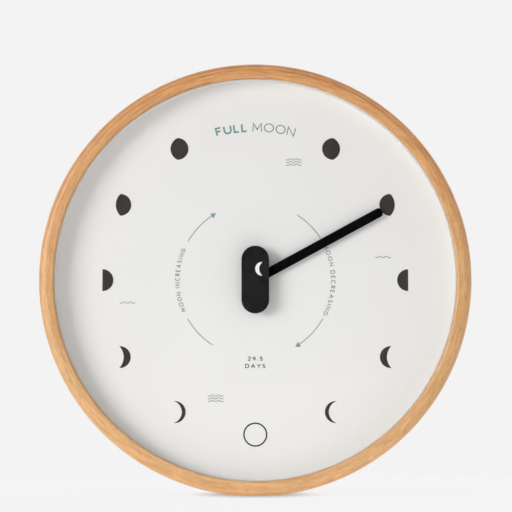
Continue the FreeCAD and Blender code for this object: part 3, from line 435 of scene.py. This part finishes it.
# Hardboard: brown fibres lying every way, which are noise stretched along two crossed directions
hardboard = dict(tones=[(0.245, 0.150, 0.082), (0.330, 0.215, 0.125)], paleTone=(0.42, 0.29, 0.18),
                 darkTone=(0.12, 0.065, 0.032), paleEdge=(0.55, 0.75), paleShare=0.5, darkEdge=(0.62, 0.75),
                 darkShare=0.45, glossEdge=(0.4, 0.7), mottle=55.0, roughness=(0.70, 0.90), specular=0.3,
                 dent=0.00008, fibreScales=((260, 900, 1500), (1500, 900, 260), (700, 700, 900)))


def hardboardFinish():
    material, tree, shader = newFinish("fibre_board", hardboard)
    layers = [noiseAt(tree, placeFrom(tree, scale=scale), 1.0, 3.0, 0.6)
              for scale in hardboard["fibreScales"]]
    fibres = mathNode(tree, "MAXIMUM", layers[0], layers[1])
    mottle = noiseAt(tree, placeFrom(tree), hardboard["mottle"], 4.0, 0.6)
    tone = mixColours(tree, spread(tree, mottle, *noiseSpan, 0.0, 1.0), *hardboard["tones"])
    pale = spread(tree, fibres, *hardboard["paleEdge"], 0.0, hardboard["paleShare"])
    tone = mixColours(tree, pale, tone, hardboard["paleTone"])
    dark = spread(tree, layers[2], *hardboard["darkEdge"], 0.0, hardboard["darkShare"])
    tone = mixColours(tree, dark, tone, hardboard["darkTone"])
    gloss = spread(tree, fibres, *hardboard["glossEdge"], *hardboard["roughness"])
    coat(tree, shader, tone, gloss, fibres, hardboard["dent"])
    return material


# Circuit board: green mask over paler copper tracks, which are the walls of a grid of cells
circuit = dict(cells=420.0, jitter=0.35, trackEdge=(0.05, 0.09), trackTone=(0.060, 0.270, 0.120),
               tones=[(0.018, 0.135, 0.060), (0.026, 0.175, 0.080)], mottle=900.0,
               roughness=(0.25, 0.38), dent=0.00003)


def circuitFinish():
    material, tree, shader = newFinish("circuit_green", circuit)
    grid = {"Vector": placeFrom(tree), "Scale": circuit["cells"], "Randomness": circuit["jitter"]}
    cells = node(tree, "TexVoronoi", grid, feature="DISTANCE_TO_EDGE")
    tracks = spread(tree, cells.outputs["Distance"], *circuit["trackEdge"], 1.0, 0.0)
    mottle = spread(tree, noiseAt(tree, placeFrom(tree), circuit["mottle"], 3.0), *noiseSpan, 0.0, 1.0)
    mask = mixColours(tree, mottle, *circuit["tones"])
    tone = mixColours(tree, tracks, mask, circuit["trackTone"])
    coat(tree, shader, tone, spread(tree, mottle, 0.0, 1.0, *circuit["roughness"]), tracks, circuit["dent"])
    return material


# Winding: turns of enamelled wire as fine waves up the coil, jittered a little. The tone is painted shade
# and highlight: dark in the grooves between turns, bright on their crests.
winding = dict(pitch=0.00022, jitter=0.00008, jitterNoise=500.0, glossNoise=1500.0,
               tones=[(0.36, 0.13, 0.05), (0.78, 0.36, 0.18)], roughness=(0.25, 0.40), dent=0.00006,
               metallic=1.0)


def windingFinish():
    material, tree, shader = newFinish("copper_wire", winding)
    vector = placeFrom(tree)
    height = node(tree, "SeparateXYZ", {0: vector}).outputs[2]
    jitter = times(tree, noiseAt(tree, vector, winding["jitterNoise"]), winding["jitter"])
    turns = times(tree, mathNode(tree, "ADD", height, jitter), 2 * np.pi / winding["pitch"])
    wave = mathNode(tree, "SINE", turns)
    # Painted shade and highlight: dark between the turns, bright on their crests.
    tone = mixColours(tree, spread(tree, wave, -1.0, 1.0, 0.0, 1.0), *winding["tones"])
    gloss = spread(tree, noiseAt(tree, vector, winding["glossNoise"]), *noiseSpan, *winding["roughness"])
    coat(tree, shader, tone, gloss, wave, winding["dent"])
    return material


# Felt: short fibres, as very fine noise under a soft sheen
felt = dict(nap=3500.0, tones=[(0.055, 0.055, 0.056), (0.125, 0.125, 0.126)], roughness=0.95, sheen=0.4,
            sheenRoughness=0.6, dent=0.0002, specular=0.1)


def feltFinish():
    material, tree, shader = newFinish("felt", felt)
    nap = noiseAt(tree, placeFrom(tree), felt["nap"], 4.0, 0.7)
    tone = mixColours(tree, spread(tree, nap, *noiseSpan, 0.0, 1.0), *felt["tones"])
    coat(tree, shader, tone, felt["roughness"], nap, felt["dent"])
    fill(tree, shader, {"Sheen Weight": felt["sheen"], "Sheen Roughness": felt["sheenRoughness"]})
    return material


finishes = {slotName: speckledFinish(slotName, look) for slotName, look in speckledLooks.items()}
finishes.update(brass=turnedFinish("brass", brassLook, hub), clear_lens=lensFinish(),
                fibre_board=hardboardFinish(), circuit_green=circuitFinish(),
                copper_wire=windingFinish(), felt=feltFinish())

ownFinishes = dict(direction_arrows="arrow_grey")
for subpart in frame["record"]["subparts"]:
    finish = finishes.get(ownFinishes.get(subpart["node"], subpart["material_slot"]))
    if finish:
        slots = nodes[subpart["node"]].data.materials
        slots.clear()
        slots.append(finish)
print("Finishes on the CAD nodes:", len(finishes))


# Printed and moulded strokes: letters, signs and arrows, each a thin closed bar along a flat line. A bend
# counts as no sharper than its limit, and crossing strokes differ in height by a step.
bendLimit = 0.45
strokeStep = 0.03

# Each letter: its width as a share of its height, and strokes in shares of its width and height
letterShares = {
    "A": (0.88, [[(0, 0), (0.5, 1), (1, 0)], [(0.2, 0.33), (0.8, 0.33)]]),
    "C": (0.82, [arcPoints((0.56, 0.5), (0.56, 0.5), 48, 312)]),
    "D": (0.80, [np.vstack(([(0, 0), (0, 1)], arcPoints((0.42, 0.5), (0.58, 0.5), 90, -90), [(0, 0)]))]),
    "E": (0.48, [[(1, 0), (0, 0), (0, 1), (1, 1)], [(0, 0.52), (0.88, 0.52)]]),
    "F": (0.50, [[(0, 0), (0, 1), (1, 1)], [(0, 0.53), (0.88, 0.53)]]),
    "G": (0.90, [np.vstack((arcPoints((0.5, 0.5), (0.5, 0.5), 45, 360), [(0.55, 0.5)]))]),
    "I": (0.04, [[(0.5, 0), (0.5, 1)]]),
    "L": (0.48, [[(0, 1), (0, 0), (1, 0)]]),
    "M": (0.98, [[(0, 0), (0.09, 1), (0.5, 0.22), (0.91, 1), (1, 0)]]),
    "N": (0.76, [[(0, 0), (0, 1), (1, 0), (1, 1)]]),
    "O": (0.98, [arcPoints((0.5, 0.5), (0.5, 0.5), 90, 450, 33)]),
    "R": (0.56, [np.vstack(([(0, 0), (0, 1), (0.5, 1)], arcPoints((0.5, 0.76), (0.5, 0.24), 90, -90)[1:],
                            [(0, 0.52)])), [(0.45, 0.52), (1, 0)]]),
    "S": (0.52, [np.vstack((arcPoints((0.5, 0.745), (0.46, 0.255), 35, 270),
                            arcPoints((0.5, 0.245), (0.5, 0.245), 90, -150)[1:]))]),
    "V": (0.82, [[(0, 1), (0.5, 0), (1, 1)]]),
    "U": (0.70, [np.vstack(([(0, 1)], arcPoints((0.5, 0.37), (0.5, 0.37), 180, 360), [(1, 1)]))]),
    "Y": (0.76, [[(0, 1), (0.5, 0.46), (1, 1)], [(0.5, 0.46), (0.5, 0)]]),
    "2": (0.56, [np.vstack((arcPoints((0.5, 0.72), (0.48, 0.28), 165, -35), [(0, 0), (1, 0)]))]),
    "5": (0.56, [np.vstack(([(0.92, 1), (0.2, 1), (0.1, 0.55)],
                            arcPoints((0.45, 0.32), (0.52, 0.32), 120, -145)))]),
    "1": (0.22, [[(0, 0.80), (1, 1), (1, 0)]]),
    "9": (0.60, [arcPoints((0.5, 0.70), (0.48, 0.30), 0, 360, 25),
                 np.vstack(([(0.98, 0.70)], arcPoints((0.3, 0.62), (0.66, 0.62), -10, -70, 8)))]),
    "+": (0.86, [[(0, 0.5), (1, 0.5)], [(0.5, 0), (0.5, 1)]]),
    "-": (0.86, [[(0, 0.5), (1, 0.5)]]),
    ".": (0.02, [[(0.5, -0.02), (0.5, 0.20)]]),
}


# The two edges of a stroke: its line moved sideways by half its width. At a bend the shift follows
# the bisector and is divided by the cosine of half the bend, or by the limit where that is more.
def strokeEdges(line, width):
    closed = np.allclose(line[0], line[-1])
    steps = np.diff(line, axis=0)
    along = steps / np.linalg.norm(steps, axis=1, keepdims=True)
    before = np.vstack((along[-1:] if closed else along[:1], along))
    after = np.vstack((along, along[:1] if closed else along[-1:]))
    bisector = before + after
    bisector = bisector / np.linalg.norm(bisector, axis=1, keepdims=True)
    sideways = pointsAt(-bisector[:, 1], bisector[:, 0])
    stretch = 1 / np.maximum((bisector * after).sum(axis=1), bendLimit)
    shift = sideways * (stretch * width / 2)[:, None]
    return line + shift, line - shift


# A bar between two edges: both at the front height and again at the back height, four lines in all.
# toSpace turns flat places and a height into points.
def barBetween(left, right, low, high, toSpace):
    closed = np.allclose(left[0], left[-1])
    if closed:
        left, right = left[:-1], right[:-1]
    corners = ((left, high), (right, high), (right, low), (left, low))
    rails = [toSpace(edge, height) for edge, height in corners]
    points = np.stack(rails, axis=1).reshape(-1, 3)
    faces = [gridFaces(len(left), 4, wrapRows=closed, wrapColumns=True)]
    if not closed:
        last = 4 * (len(left) - 1)
        faces.append(np.array([[3, 2, 1, 0], [last, last + 1, last + 2, last + 3]]))
    return points, faces


# All strokes of a word or a sign as one piece. Each is one step of their height above the one before, up
# to three times, so that crossing strokes don't share a face.
def strokesPiece(name, strokes, low, high, toSpace, material, body):
    allPoints, quads, start = [], [], 0
    for index, (line, width) in enumerate(strokes):
        lift = high + (high - low) * strokeStep * (index % 4)
        points, faces = barBetween(*strokeEdges(np.asarray(line, float), width), low, lift, toSpace)
        if enclosedVolume(points, faces) < 0:
            faces = [group[:, ::-1] for group in faces]
        allPoints.append(points)
        quads += [group + start for group in faces]
        start += len(points)
    return makePiece(name, np.vstack(allPoints), quads, material, body)


# Letters side by side: each stroke in metres, with the word's start at zero.
def wordStrokes(word, height, weight, gap, space, widen=1.0):
    strokes, place = [], 0.0
    for letter in word:
        if letter == " ":
            place += space
            continue
        widthShare, lines = letterShares[letter]
        inner = (widthShare * widen * height, height - weight)
        for line in lines:
            shares = np.asarray(line, float)
            strokes.append((shares * inner + (place + weight / 2, weight / 2), weight))
        place += inner[0] + weight + gap
    return strokes, place - gap


# Flat places on the dial: x to the right and z up from the hub, at a height in front of the sheet.
def onDial(places, height):
    return pointsAt(hub.x + places[:, 0], dialFront - height, hub.z + places[:, 1])


# A line of letters bent round the hub: along the word the turn grows by the length over the radius,
# and up the letter the radius grows, or shrinks where the word reads from inside.
def roundDial(radius, middleTurn, length):
    def toSpace(places, height):
        turn = math.radians(middleTurn) - (places[:, 0] - length / 2) / radius
        reach = radius + places[:, 1]
        return onDial(pointsAt(reach * np.cos(turn), reach * np.sin(turn)), height)
    return toSpace


# Words: each has its height, stroke weight, gap and space between words, and a side word also its widening
labels = dict(
    inkThickness=0.00008, topRadius=0.1040, topSpace=0.0034, sideRadius=0.0528,
    bold=(0.0063, 0.00118, 0.00115, 0), light=(0.0063, 0.00064, 0.00115, 0),
    sideWords=(("waxing_label", "MOON INCREASING", 180, (0.0031, 0.00040, 0.00106, 0.0018, 0.78)),
               ("waning_label", "MOON DECREASING", 0, (0.0031, 0.00040, 0.00116, 0.0018, 0.88))),
    count=(0.0029, 0.00050, 0.00115, 0), countDrop=0.0562, countStep=0.0051,
)


# The two top words follow each other on one arc, and a side word stands at each side. The count's two
# rows go down from their drop by one step, each about the middle.
def printLabels():
    ink = labels["inkThickness"]
    bold, boldLength = wordStrokes("FULL", *labels["bold"])
    light, lightLength = wordStrokes("MOON", *labels["light"])
    start = boldLength + labels["topSpace"]
    light = [(line + (start, 0), width) for line, width in light]
    around = roundDial(labels["topRadius"], 90, start + lightLength)
    strokesPiece("full_word", bold, 0, ink, around, finishes["teal_ink"], "clock_case")
    strokesPiece("moon_word", light, 0, ink, around, finishes["label_grey"], "clock_case")
    for name, words, turn, look in labels["sideWords"]:
        side, length = wordStrokes(words, *look)
        around = roundDial(labels["sideRadius"], turn, length)
        strokesPiece(name, side, 0, ink, around, finishes["side_teal"], "clock_case")
    count = []
    for row, words in enumerate(("29.5", "DAYS")):
        strokes, length = wordStrokes(words, *labels["count"])
        shift = (-length / 2, -labels["countDrop"] - row * labels["countStep"])
        count += [(line + shift, width) for line, width in strokes]
    strokesPiece("day_count", count, 0, ink, onDial, finishes["dark_ink"], "clock_case")


printLabels()
print("Words printed")

# Wave figures: their middles and rows, and an even wave of five halves in each row
waves = dict(places=((0.02694, 0.08271, 3), (-0.02753, -0.08228, 3),
                     (0.08921, 0.01615, 1), (-0.08911, -0.01566, 1)),
             halves=5, halfSteps=12, halfWave=0.00214, swing=0.00108, rowGap=0.00187, weight=0.00040)


# Along a row the rise is half the swing times minus the cosine of the place over a half wave.
def printWaves():
    halves = waves["halves"]
    steps = np.linspace(-halves / 2, halves / 2, waves["halfSteps"] * halves + 1)
    row = pointsAt(steps * waves["halfWave"], -waves["swing"] / 2 * np.cos(np.pi * steps))
    strokes = [(row + (right, up + (index - (count - 1) / 2) * waves["rowGap"]), waves["weight"])
               for right, up, count in waves["places"] for index in range(count)]
    piece = strokesPiece("wave_prints", strokes, 0, labels["inkThickness"], onDial, finishes["wave_grey"],
                         "clock_case")
    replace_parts(piece, "wave_marks")


printWaves()
print("Waves printed")

# Hand: a straight bar with rounded tip corners and a round boss with a bore
hand = dict(turn=28.6, length=0.1004, width=0.0064, tipRound=0.0022, tipSteps=12, bossRadius=0.0065,
            bossSteps=61, boreRadius=0.0035)
handLow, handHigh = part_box("moon_hand")


# The outline runs round tip and boss, and the bore has a point on the same ray for each of its points.
# Turned places are the flat ones times cosine and sine of the hand's turn.
def cutHand():
    half, tip = hand["width"] / 2, hand["length"] - hand["tipRound"]
    boss = math.degrees(math.asin(half / hand["bossRadius"]))
    outline = np.vstack((
        arcPoints((tip, -half + hand["tipRound"]), hand["tipRound"], -90, 0, hand["tipSteps"]),
        arcPoints((tip, half - hand["tipRound"]), hand["tipRound"], 0, 90, hand["tipSteps"]),
        arcPoints((0, 0), hand["bossRadius"], boss, 360 - boss, hand["bossSteps"]),
        [(tip, -half)],
    ))
    bore = hand["boreRadius"] * outline / np.linalg.norm(outline, axis=1, keepdims=True)
    turn = math.radians(hand["turn"])
    spin = np.array(((math.cos(turn), math.sin(turn)), (-math.sin(turn), math.cos(turn))))
    front, rear = dialFront - handLow.y, dialFront - handHigh.y
    points, faces = barBetween(outline @ spin, bore @ spin, rear, front, onDial)
    piece = makePiece("hand_bar", points, faces, finishes["black_metal"], "hand_body")
    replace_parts(piece, "moon_hand")


cutHand()
print("Hand cut")

# Crescent: two arcs that meet near the horns, a hair proud of the cover
crescent = dict(radius=0.00475, biteRadius=0.00602, biteShift=0.00402, hornTrim=3.0, proud=0.00004, steps=41)
crescentLow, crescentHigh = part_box("cover_crescent")


# The circles meet where the place across is the radius squared and the shift squared, less the bite's
# radius squared, over twice the shift. Each arc runs round the far side, from one horn to the other.
def inlayCrescent():
    c = crescent
    across = (c["radius"] ** 2 + c["biteShift"] ** 2 - c["biteRadius"] ** 2) / (2 * c["biteShift"])
    horn = math.degrees(math.acos(across / c["radius"])) + c["hornTrim"]
    biteHorn = math.degrees(math.acos((c["biteShift"] - across) / c["biteRadius"])) - c["hornTrim"]
    outer = arcPoints((0, 0), c["radius"], horn, 360 - horn, c["steps"])
    inner = arcPoints((c["biteShift"], 0), c["biteRadius"], 180 - biteHorn, 180 + biteHorn, c["steps"])
    middle = (crescentLow.x + c["radius"], (crescentLow.z + crescentHigh.z) / 2)

    def onCover(places, height):
        return pointsAt(middle[0] + places[:, 0], crescentLow.y - height, middle[1] + places[:, 1])

    points, faces = barBetween(outer, inner, crescentLow.y - crescentHigh.y, c["proud"], onCover)
    piece = makePiece("crescent_inlay", points, faces, finishes["crescent_white"], "clock_case")
    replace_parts(piece, "cover_crescent")


inlayCrescent()
print("Crescent inlaid")


# Battery: a can, a film sleeve over it with a coloured band at the plus end and a thin white line beside
# it, and signs that read from behind. A sign and the text have height, stroke weight, gap and space.
cell = dict(
    steps=72, canRadius=0.0070, round=0.0007, roundSteps=7, nub=0.0010, nubRadius=0.00255, edge=0.0002,
    rearRadii=(0.0050, 0.0054), grooveRadii=(0.0036, 0.0034, 0.0029),
    sleeveRadius=0.00718, sleeveInner=0.00706, sleeveLip=0.0058, sleeveStart=(0.0005, 0.0006),
    band=0.0120, line=0.0007, sign=(0.0034, 0.0007, 0, 0), text=(0.0026, 0.00042, 0.00060, 0.0016),
    ink=0.00005, filmTones=[(0.500, 0.510, 0.500), (0.560, 0.570, 0.560)], bandTone=(0.030, 0.150, 0.115),
    lineTone=(0.80, 0.80, 0.78), mottle=260.0, scuffs=1800.0, roughness=(0.22, 0.40), dent=0.00001,
)
cellLow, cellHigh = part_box("battery_cell")
cellMiddle = (cellLow + cellHigh) / 2


# The tone goes by the distance from the plus end: band, then line, then film.
def sleeveFinish():
    material, tree, shader = newFinish("cell_film", cell)
    vector = placeFrom(tree, cellHigh)
    toPlus = times(tree, node(tree, "SeparateXYZ", {0: vector}).outputs[0], -1.0)
    mottle = spread(tree, noiseAt(tree, vector, cell["mottle"], 3.0), *noiseSpan, 0.0, 1.0)
    tone = mixColours(tree, mottle, *cell["filmTones"])
    edge = cell["band"] + cell["line"]
    tone = mixColours(tree, mathNode(tree, "LESS_THAN", toPlus, edge), tone, cell["lineTone"])
    tone = mixColours(tree, mathNode(tree, "LESS_THAN", toPlus, cell["band"]), tone, cell["bandTone"])
    scuffs = noiseAt(tree, placeFrom(tree, cellHigh, (0.3, 1, 1)), cell["scuffs"], 3.0, 0.6)
    coat(tree, shader, tone, spread(tree, scuffs, *noiseSpan, *cell["roughness"]), scuffs, cell["dent"])
    return material


# The can and its sleeve are turned about the x axis: y and z are the radius times cosine and sine.
def turnCell(name, profile, closed, finish):
    turn = np.linspace(0, 2 * np.pi, cell["steps"], endpoint=False)
    radius = profile[:, 1:]
    points = np.stack((
        np.broadcast_to(cellLow.x + profile[:, :1], (len(profile), len(turn))),
        cellMiddle.y + radius * np.cos(turn),
        cellMiddle.z + radius * np.sin(turn),
    ), axis=-1).reshape(-1, 3)
    faces = [gridFaces(len(profile), len(turn), wrapRows=closed, wrapColumns=True)]
    if not closed:
        ring = np.arange(len(turn))
        faces += [ring[None, ::-1], ring[None, :] + (len(profile) - 1) * len(turn)]
    return makePiece(name, points, faces, finishes[finish], "battery_body")


# Flat places wrapped round the sleeve: the turn is the rise over the sleeve's radius.
def aroundCell(places, height):
    turn = places[:, 1] / cell["sleeveRadius"]
    radius = cell["sleeveRadius"] + height
    return pointsAt(cellHigh.x - places[:, 0], cellMiddle.y + radius * np.cos(turn),
                    cellMiddle.z + radius * np.sin(turn))


# A word about its middle along the cell, wrapped onto the film.
def wrapWord(name, word, middle, look, finish):
    strokes, length = wordStrokes(word, *look)
    strokes = [(line + (middle - length / 2, -look[0] / 2), width) for line, width in strokes]
    strokesPiece(name, strokes, 0, cell["ink"], aroundCell, finishes[finish], "battery_body")


finishes["cell_film"] = sleeveFinish()


# The can's profile goes from the flat end over two round shoulders and a groove to the nub. The film
# follows it at its own two radii, and turns in over the plus end's shoulder.
def dressCell():
    c = cell
    length = cellHigh.x - cellLow.x
    shoulder = length - c["nub"]
    low = c["canRadius"] - c["round"]
    groove, steps = c["grooveRadii"], c["roundSteps"]
    can = np.vstack((
        [(c["edge"], c["rearRadii"][0]), (0.0, c["rearRadii"][1])],
        arcPoints((c["round"], low), c["round"], 180, 90, steps),
        arcPoints((shoulder - c["round"], low), c["round"], 90, 0, steps),
        [(shoulder, groove[0]), (shoulder - c["edge"], groove[1]), (shoulder - c["edge"], groove[2]),
         (shoulder, c["nubRadius"]), (length - c["edge"], c["nubRadius"]),
         (length, c["nubRadius"] - c["edge"])],
    ))
    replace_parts(turnCell("cell_can", can, False, "steel"), "battery_cell")
    outer, inner = c["sleeveRadius"] - low, c["sleeveInner"] - low
    corner = (shoulder - c["round"], low)
    film = np.vstack((
        [(c["sleeveStart"][0], c["sleeveInner"]), (c["sleeveStart"][1], c["sleeveRadius"])],
        arcPoints(corner, outer, 90, 0, steps),
        [(corner[0] + outer, c["sleeveLip"]), (corner[0] + inner, c["sleeveLip"])],
        arcPoints(corner, inner, 0, 90, steps),
    ))
    turnCell("cell_sleeve", film, True, "cell_film")
    wrapWord("cell_plus", "+", c["band"] / 2, c["sign"], "crescent_white")
    wrapWord("cell_minus", "-", length - c["band"] / 2, c["sign"], "dark_ink")
    wrapWord("cell_text", "AA 1.5 V", (length + c["band"]) / 2, c["text"], "dark_ink")


dressCell()
print("Battery dressed")

# Moulded marks on the movement's lid: an arrow round the knob, and plus and minus above the cell
lid = dict(arrowRadius=0.0092, arrowWeight=0.0007, arrowTurn=(215, 325), arrowSteps=25, head=0.0016,
           rise=0.00025, sign=(0.0032, 0.0007, 0, 0), signAcross=0.0150, signDrop=0.0035)
lidLow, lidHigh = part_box("rear_casing")


# Flat places on the lid as seen from behind: x runs the other way there.
def onLid(places, height):
    return pointsAt(-places[:, 0], lidHigh.y + height, places[:, 1])


# The arrow is an arc about the knob, and its head goes back and to both sides from the arc's end.
def mouldLid():
    middle = (-knobHub.x, knobHub.z)
    turned = arcPoints(middle, lid["arrowRadius"], *lid["arrowTurn"], lid["arrowSteps"])
    tip = turned[-1]
    turn = math.radians(lid["arrowTurn"][1])
    back, out = np.array((math.sin(turn), -math.cos(turn))), np.array((math.cos(turn), math.sin(turn)))
    head = np.array([tip + lid["head"] * (back + side * out) for side in (1, 0, -1)])
    head[1] = tip
    strokes = [(turned, lid["arrowWeight"]), (head, lid["arrowWeight"])]
    for words, across in (("+", -lid["signAcross"]), ("-", lid["signAcross"])):
        sign, width = wordStrokes(words, *lid["sign"])
        shift = (across - width / 2, lidLow.z + lid["signDrop"] - lid["sign"][0] / 2)
        strokes += [(line + shift, weight) for line, weight in sign]
    strokesPiece("lid_marks", strokes, -lid["rise"], lid["rise"], onLid, finishes["casing_black"],
                 "clock_case")


mouldLid()
print("Lid marked")


# Studio: one softbox at the left, a dim one behind, an even room, a pale floor and the camera
studio = dict(
    paper=0.896, skyLow=0.580, skyHigh=0.365, skyRise=(0.0, 1.0), skyBehind=0.80, behindRise=(0.0, 0.8),
    behindEdge=(0.0, 0.45), skyRight=0.75, rightEdge=(0.20, 0.80), rightSide=(-0.40, 0.05),
    floorReach=6.0, floorTone=0.80, farGlow=0.08, nearGlow=0.50, glowEdge=(0.10, 0.45), seenTone=0.13,
    seenGlow=0.815, shadowSize=(0.040, 0.085), shadowDepth=0.55, shadowEdge=(0.25, 1.30),
    fadeEdge=(0.30, 0.90),
)
softboxes = dict(
    softbox=dict(size=(1.25, 1.35), turn=47.5, rise=3.0, distance=2.4, power=41.0),
    rear_softbox=dict(size=(1.0, 1.0), turn=215, rise=28, distance=1.8, power=9.0),
)
viewpoint = dict(lens=187.3, sensor=36.0, right=0.0005, distance=1.84, height=0.050, aimHeight=0.1650,
                 clip=(0.05, 50.0))


# Rays that see the background, straight, mirrored or through the lens, not the ones that light the clock
def seenRays(tree):
    paths = node(tree, "LightPath").outputs
    mirrored = mathNode(tree, "MAXIMUM", paths["Is Glossy Ray"], paths["Is Transmission Ray"])
    return mathNode(tree, "MAXIMUM", paths["Is Camera Ray"], mirrored)


# The room is brighter low down than overhead, brighter still low behind the clock, as in a white
# sweep, and at the right, where a pale wall would be. It is seen as plain paper.
def lightRoom():
    s = studio
    world = bpy.data.worlds.new("studio_room")
    bpy.context.scene.world = world
    world.use_nodes = True
    tree = world.node_tree
    way = node(tree, "TexCoord").outputs["Generated"]
    across, behind, height = node(tree, "SeparateXYZ", {0: way}).outputs
    front = spread(tree, height, *s["skyRise"], s["skyLow"], s["skyHigh"])
    rear = spread(tree, height, *s["behindRise"], s["skyBehind"], s["skyHigh"])
    back = spread(tree, behind, *s["behindEdge"], 0.0, 1.0)
    sweep = node(tree, "Mix", {0: back, 2: front, 3: rear}).outputs[0]
    wall = times(tree, spread(tree, across, *s["rightEdge"], 0.0, s["skyRight"]),
                 spread(tree, behind, *s["rightSide"], 0.0, 1.0))
    light = mathNode(tree, "ADD", sweep, wall)
    strength = node(tree, "Mix", {0: seenRays(tree), 2: light, 3: s["paper"]}).outputs[0]
    fill(tree, tree.nodes["Background"], {"Color": (1, 1, 1, 1), "Strength": strength})


# A lamp or a camera at its place, turned so that its back is to the way called away.
def standFacing(name, data, place, away):
    holder = newObject(name, data)
    holder.location = place
    holder.rotation_mode = "QUATERNION"
    holder.rotation_quaternion = away.to_track_quat("Z", "Y")
    return holder


# The lamp hangs at its distance from the hub, on the side that its turn and rise give, and looks back.
def hangSoftbox(name, look):
    turn, rise = math.radians(look["turn"]), math.radians(look["rise"])
    away = Vector((-math.sin(turn) * math.cos(rise), -math.cos(turn) * math.cos(rise), math.sin(rise)))
    lamp = bpy.data.lights.new(name, "AREA")
    lamp.shape = "RECTANGLE"
    lamp.size, lamp.size_y = look["size"]
    lamp.energy = look["power"]
    standFacing(name, lamp, hub + away * look["distance"], away)


# The floor holds the clock's shadow, and further off it fades into the background's tone. Close to
# the foot a painted shadow darkens it by the distance from the foot's middle, in shares of the shadow's
# two half sizes. As a lamp it glows more near the clock: painted light, like that of pale paper under a wide
# light.
def floorFinish():
    s, eased = studio, "SMOOTHSTEP"
    material, tree, shader = newFinish("pale_floor", s)
    tree.nodes.remove(shader)
    distance = lengthOf(tree, placeFrom(tree))
    matte = node(tree, "BsdfDiffuse", {"Color": (s["floorTone"],) * 3 + (1,)})
    glow = spread(tree, distance, *s["glowEdge"], s["nearGlow"], s["farGlow"], eased)
    lamp = node(tree, "Emission", {"Strength": glow})
    lighting = node(tree, "AddShader", {0: matte.outputs[0], 1: lamp.outputs[0]})
    foot = (hub.x, caseFront + hoop["depth"] / 2, 0)
    shares = placeFrom(tree, foot, (1 / s["shadowSize"][0], 1 / s["shadowSize"][1], 0))
    # Painted shadow: darker close to the foot.
    shade = spread(tree, lengthOf(tree, shares), *s["shadowEdge"], 1 - s["shadowDepth"], 1.0, eased)
    seenMatte = node(tree, "BsdfDiffuse", {"Color": times(tree, shade, s["seenTone"])})
    seenGlow = node(tree, "Emission", {"Strength": times(tree, shade, s["seenGlow"])})
    near = node(tree, "AddShader", {0: seenMatte.outputs[0], 1: seenGlow.outputs[0]})
    far = node(tree, "Emission", {"Strength": s["paper"]})
    fade = spread(tree, distance, *s["fadeEdge"], 0.0, 1.0, eased)
    seenFloor = node(tree, "MixShader", {0: fade, 1: near.outputs[0], 2: far.outputs[0]})
    whole = node(tree, "MixShader", {0: seenRays(tree), 1: lighting.outputs[0], 2: seenFloor.outputs[0]})
    tree.links.new(whole.outputs[0], tree.nodes["Material Output"].inputs["Surface"])
    return material


# A square as wide as twice the reach, at the ground.
def layFloor():
    reach = studio["floorReach"]
    mesh = bpy.data.meshes.new("floor")
    corners = [(-reach, -reach, 0), (reach, -reach, 0), (reach, reach, 0), (-reach, reach, 0)]
    mesh.from_pydata(corners, [], [(0, 1, 2, 3)])
    mesh.materials.append(floorFinish())
    newObject("floor", mesh)


# The camera stands at its distance in front of the clock and looks at the aim, both a hair to the right.
def placeCamera():
    data = bpy.data.cameras.new("camera")
    data.lens, data.sensor_width = viewpoint["lens"], viewpoint["sensor"]
    data.clip_start, data.clip_end = viewpoint["clip"]
    place = Vector((viewpoint["right"], caseFront - viewpoint["distance"], viewpoint["height"]))
    aim = Vector((viewpoint["right"], caseFront, viewpoint["aimHeight"]))
    bpy.context.scene.camera = standFacing("camera", data, place, place - aim)


lightRoom()
for softboxName, softboxLook in softboxes.items():
    hangSoftbox(softboxName, softboxLook)
layFloor()
placeCamera()
bpy.context.scene.view_settings.view_transform = "Standard"
print("Studio set")
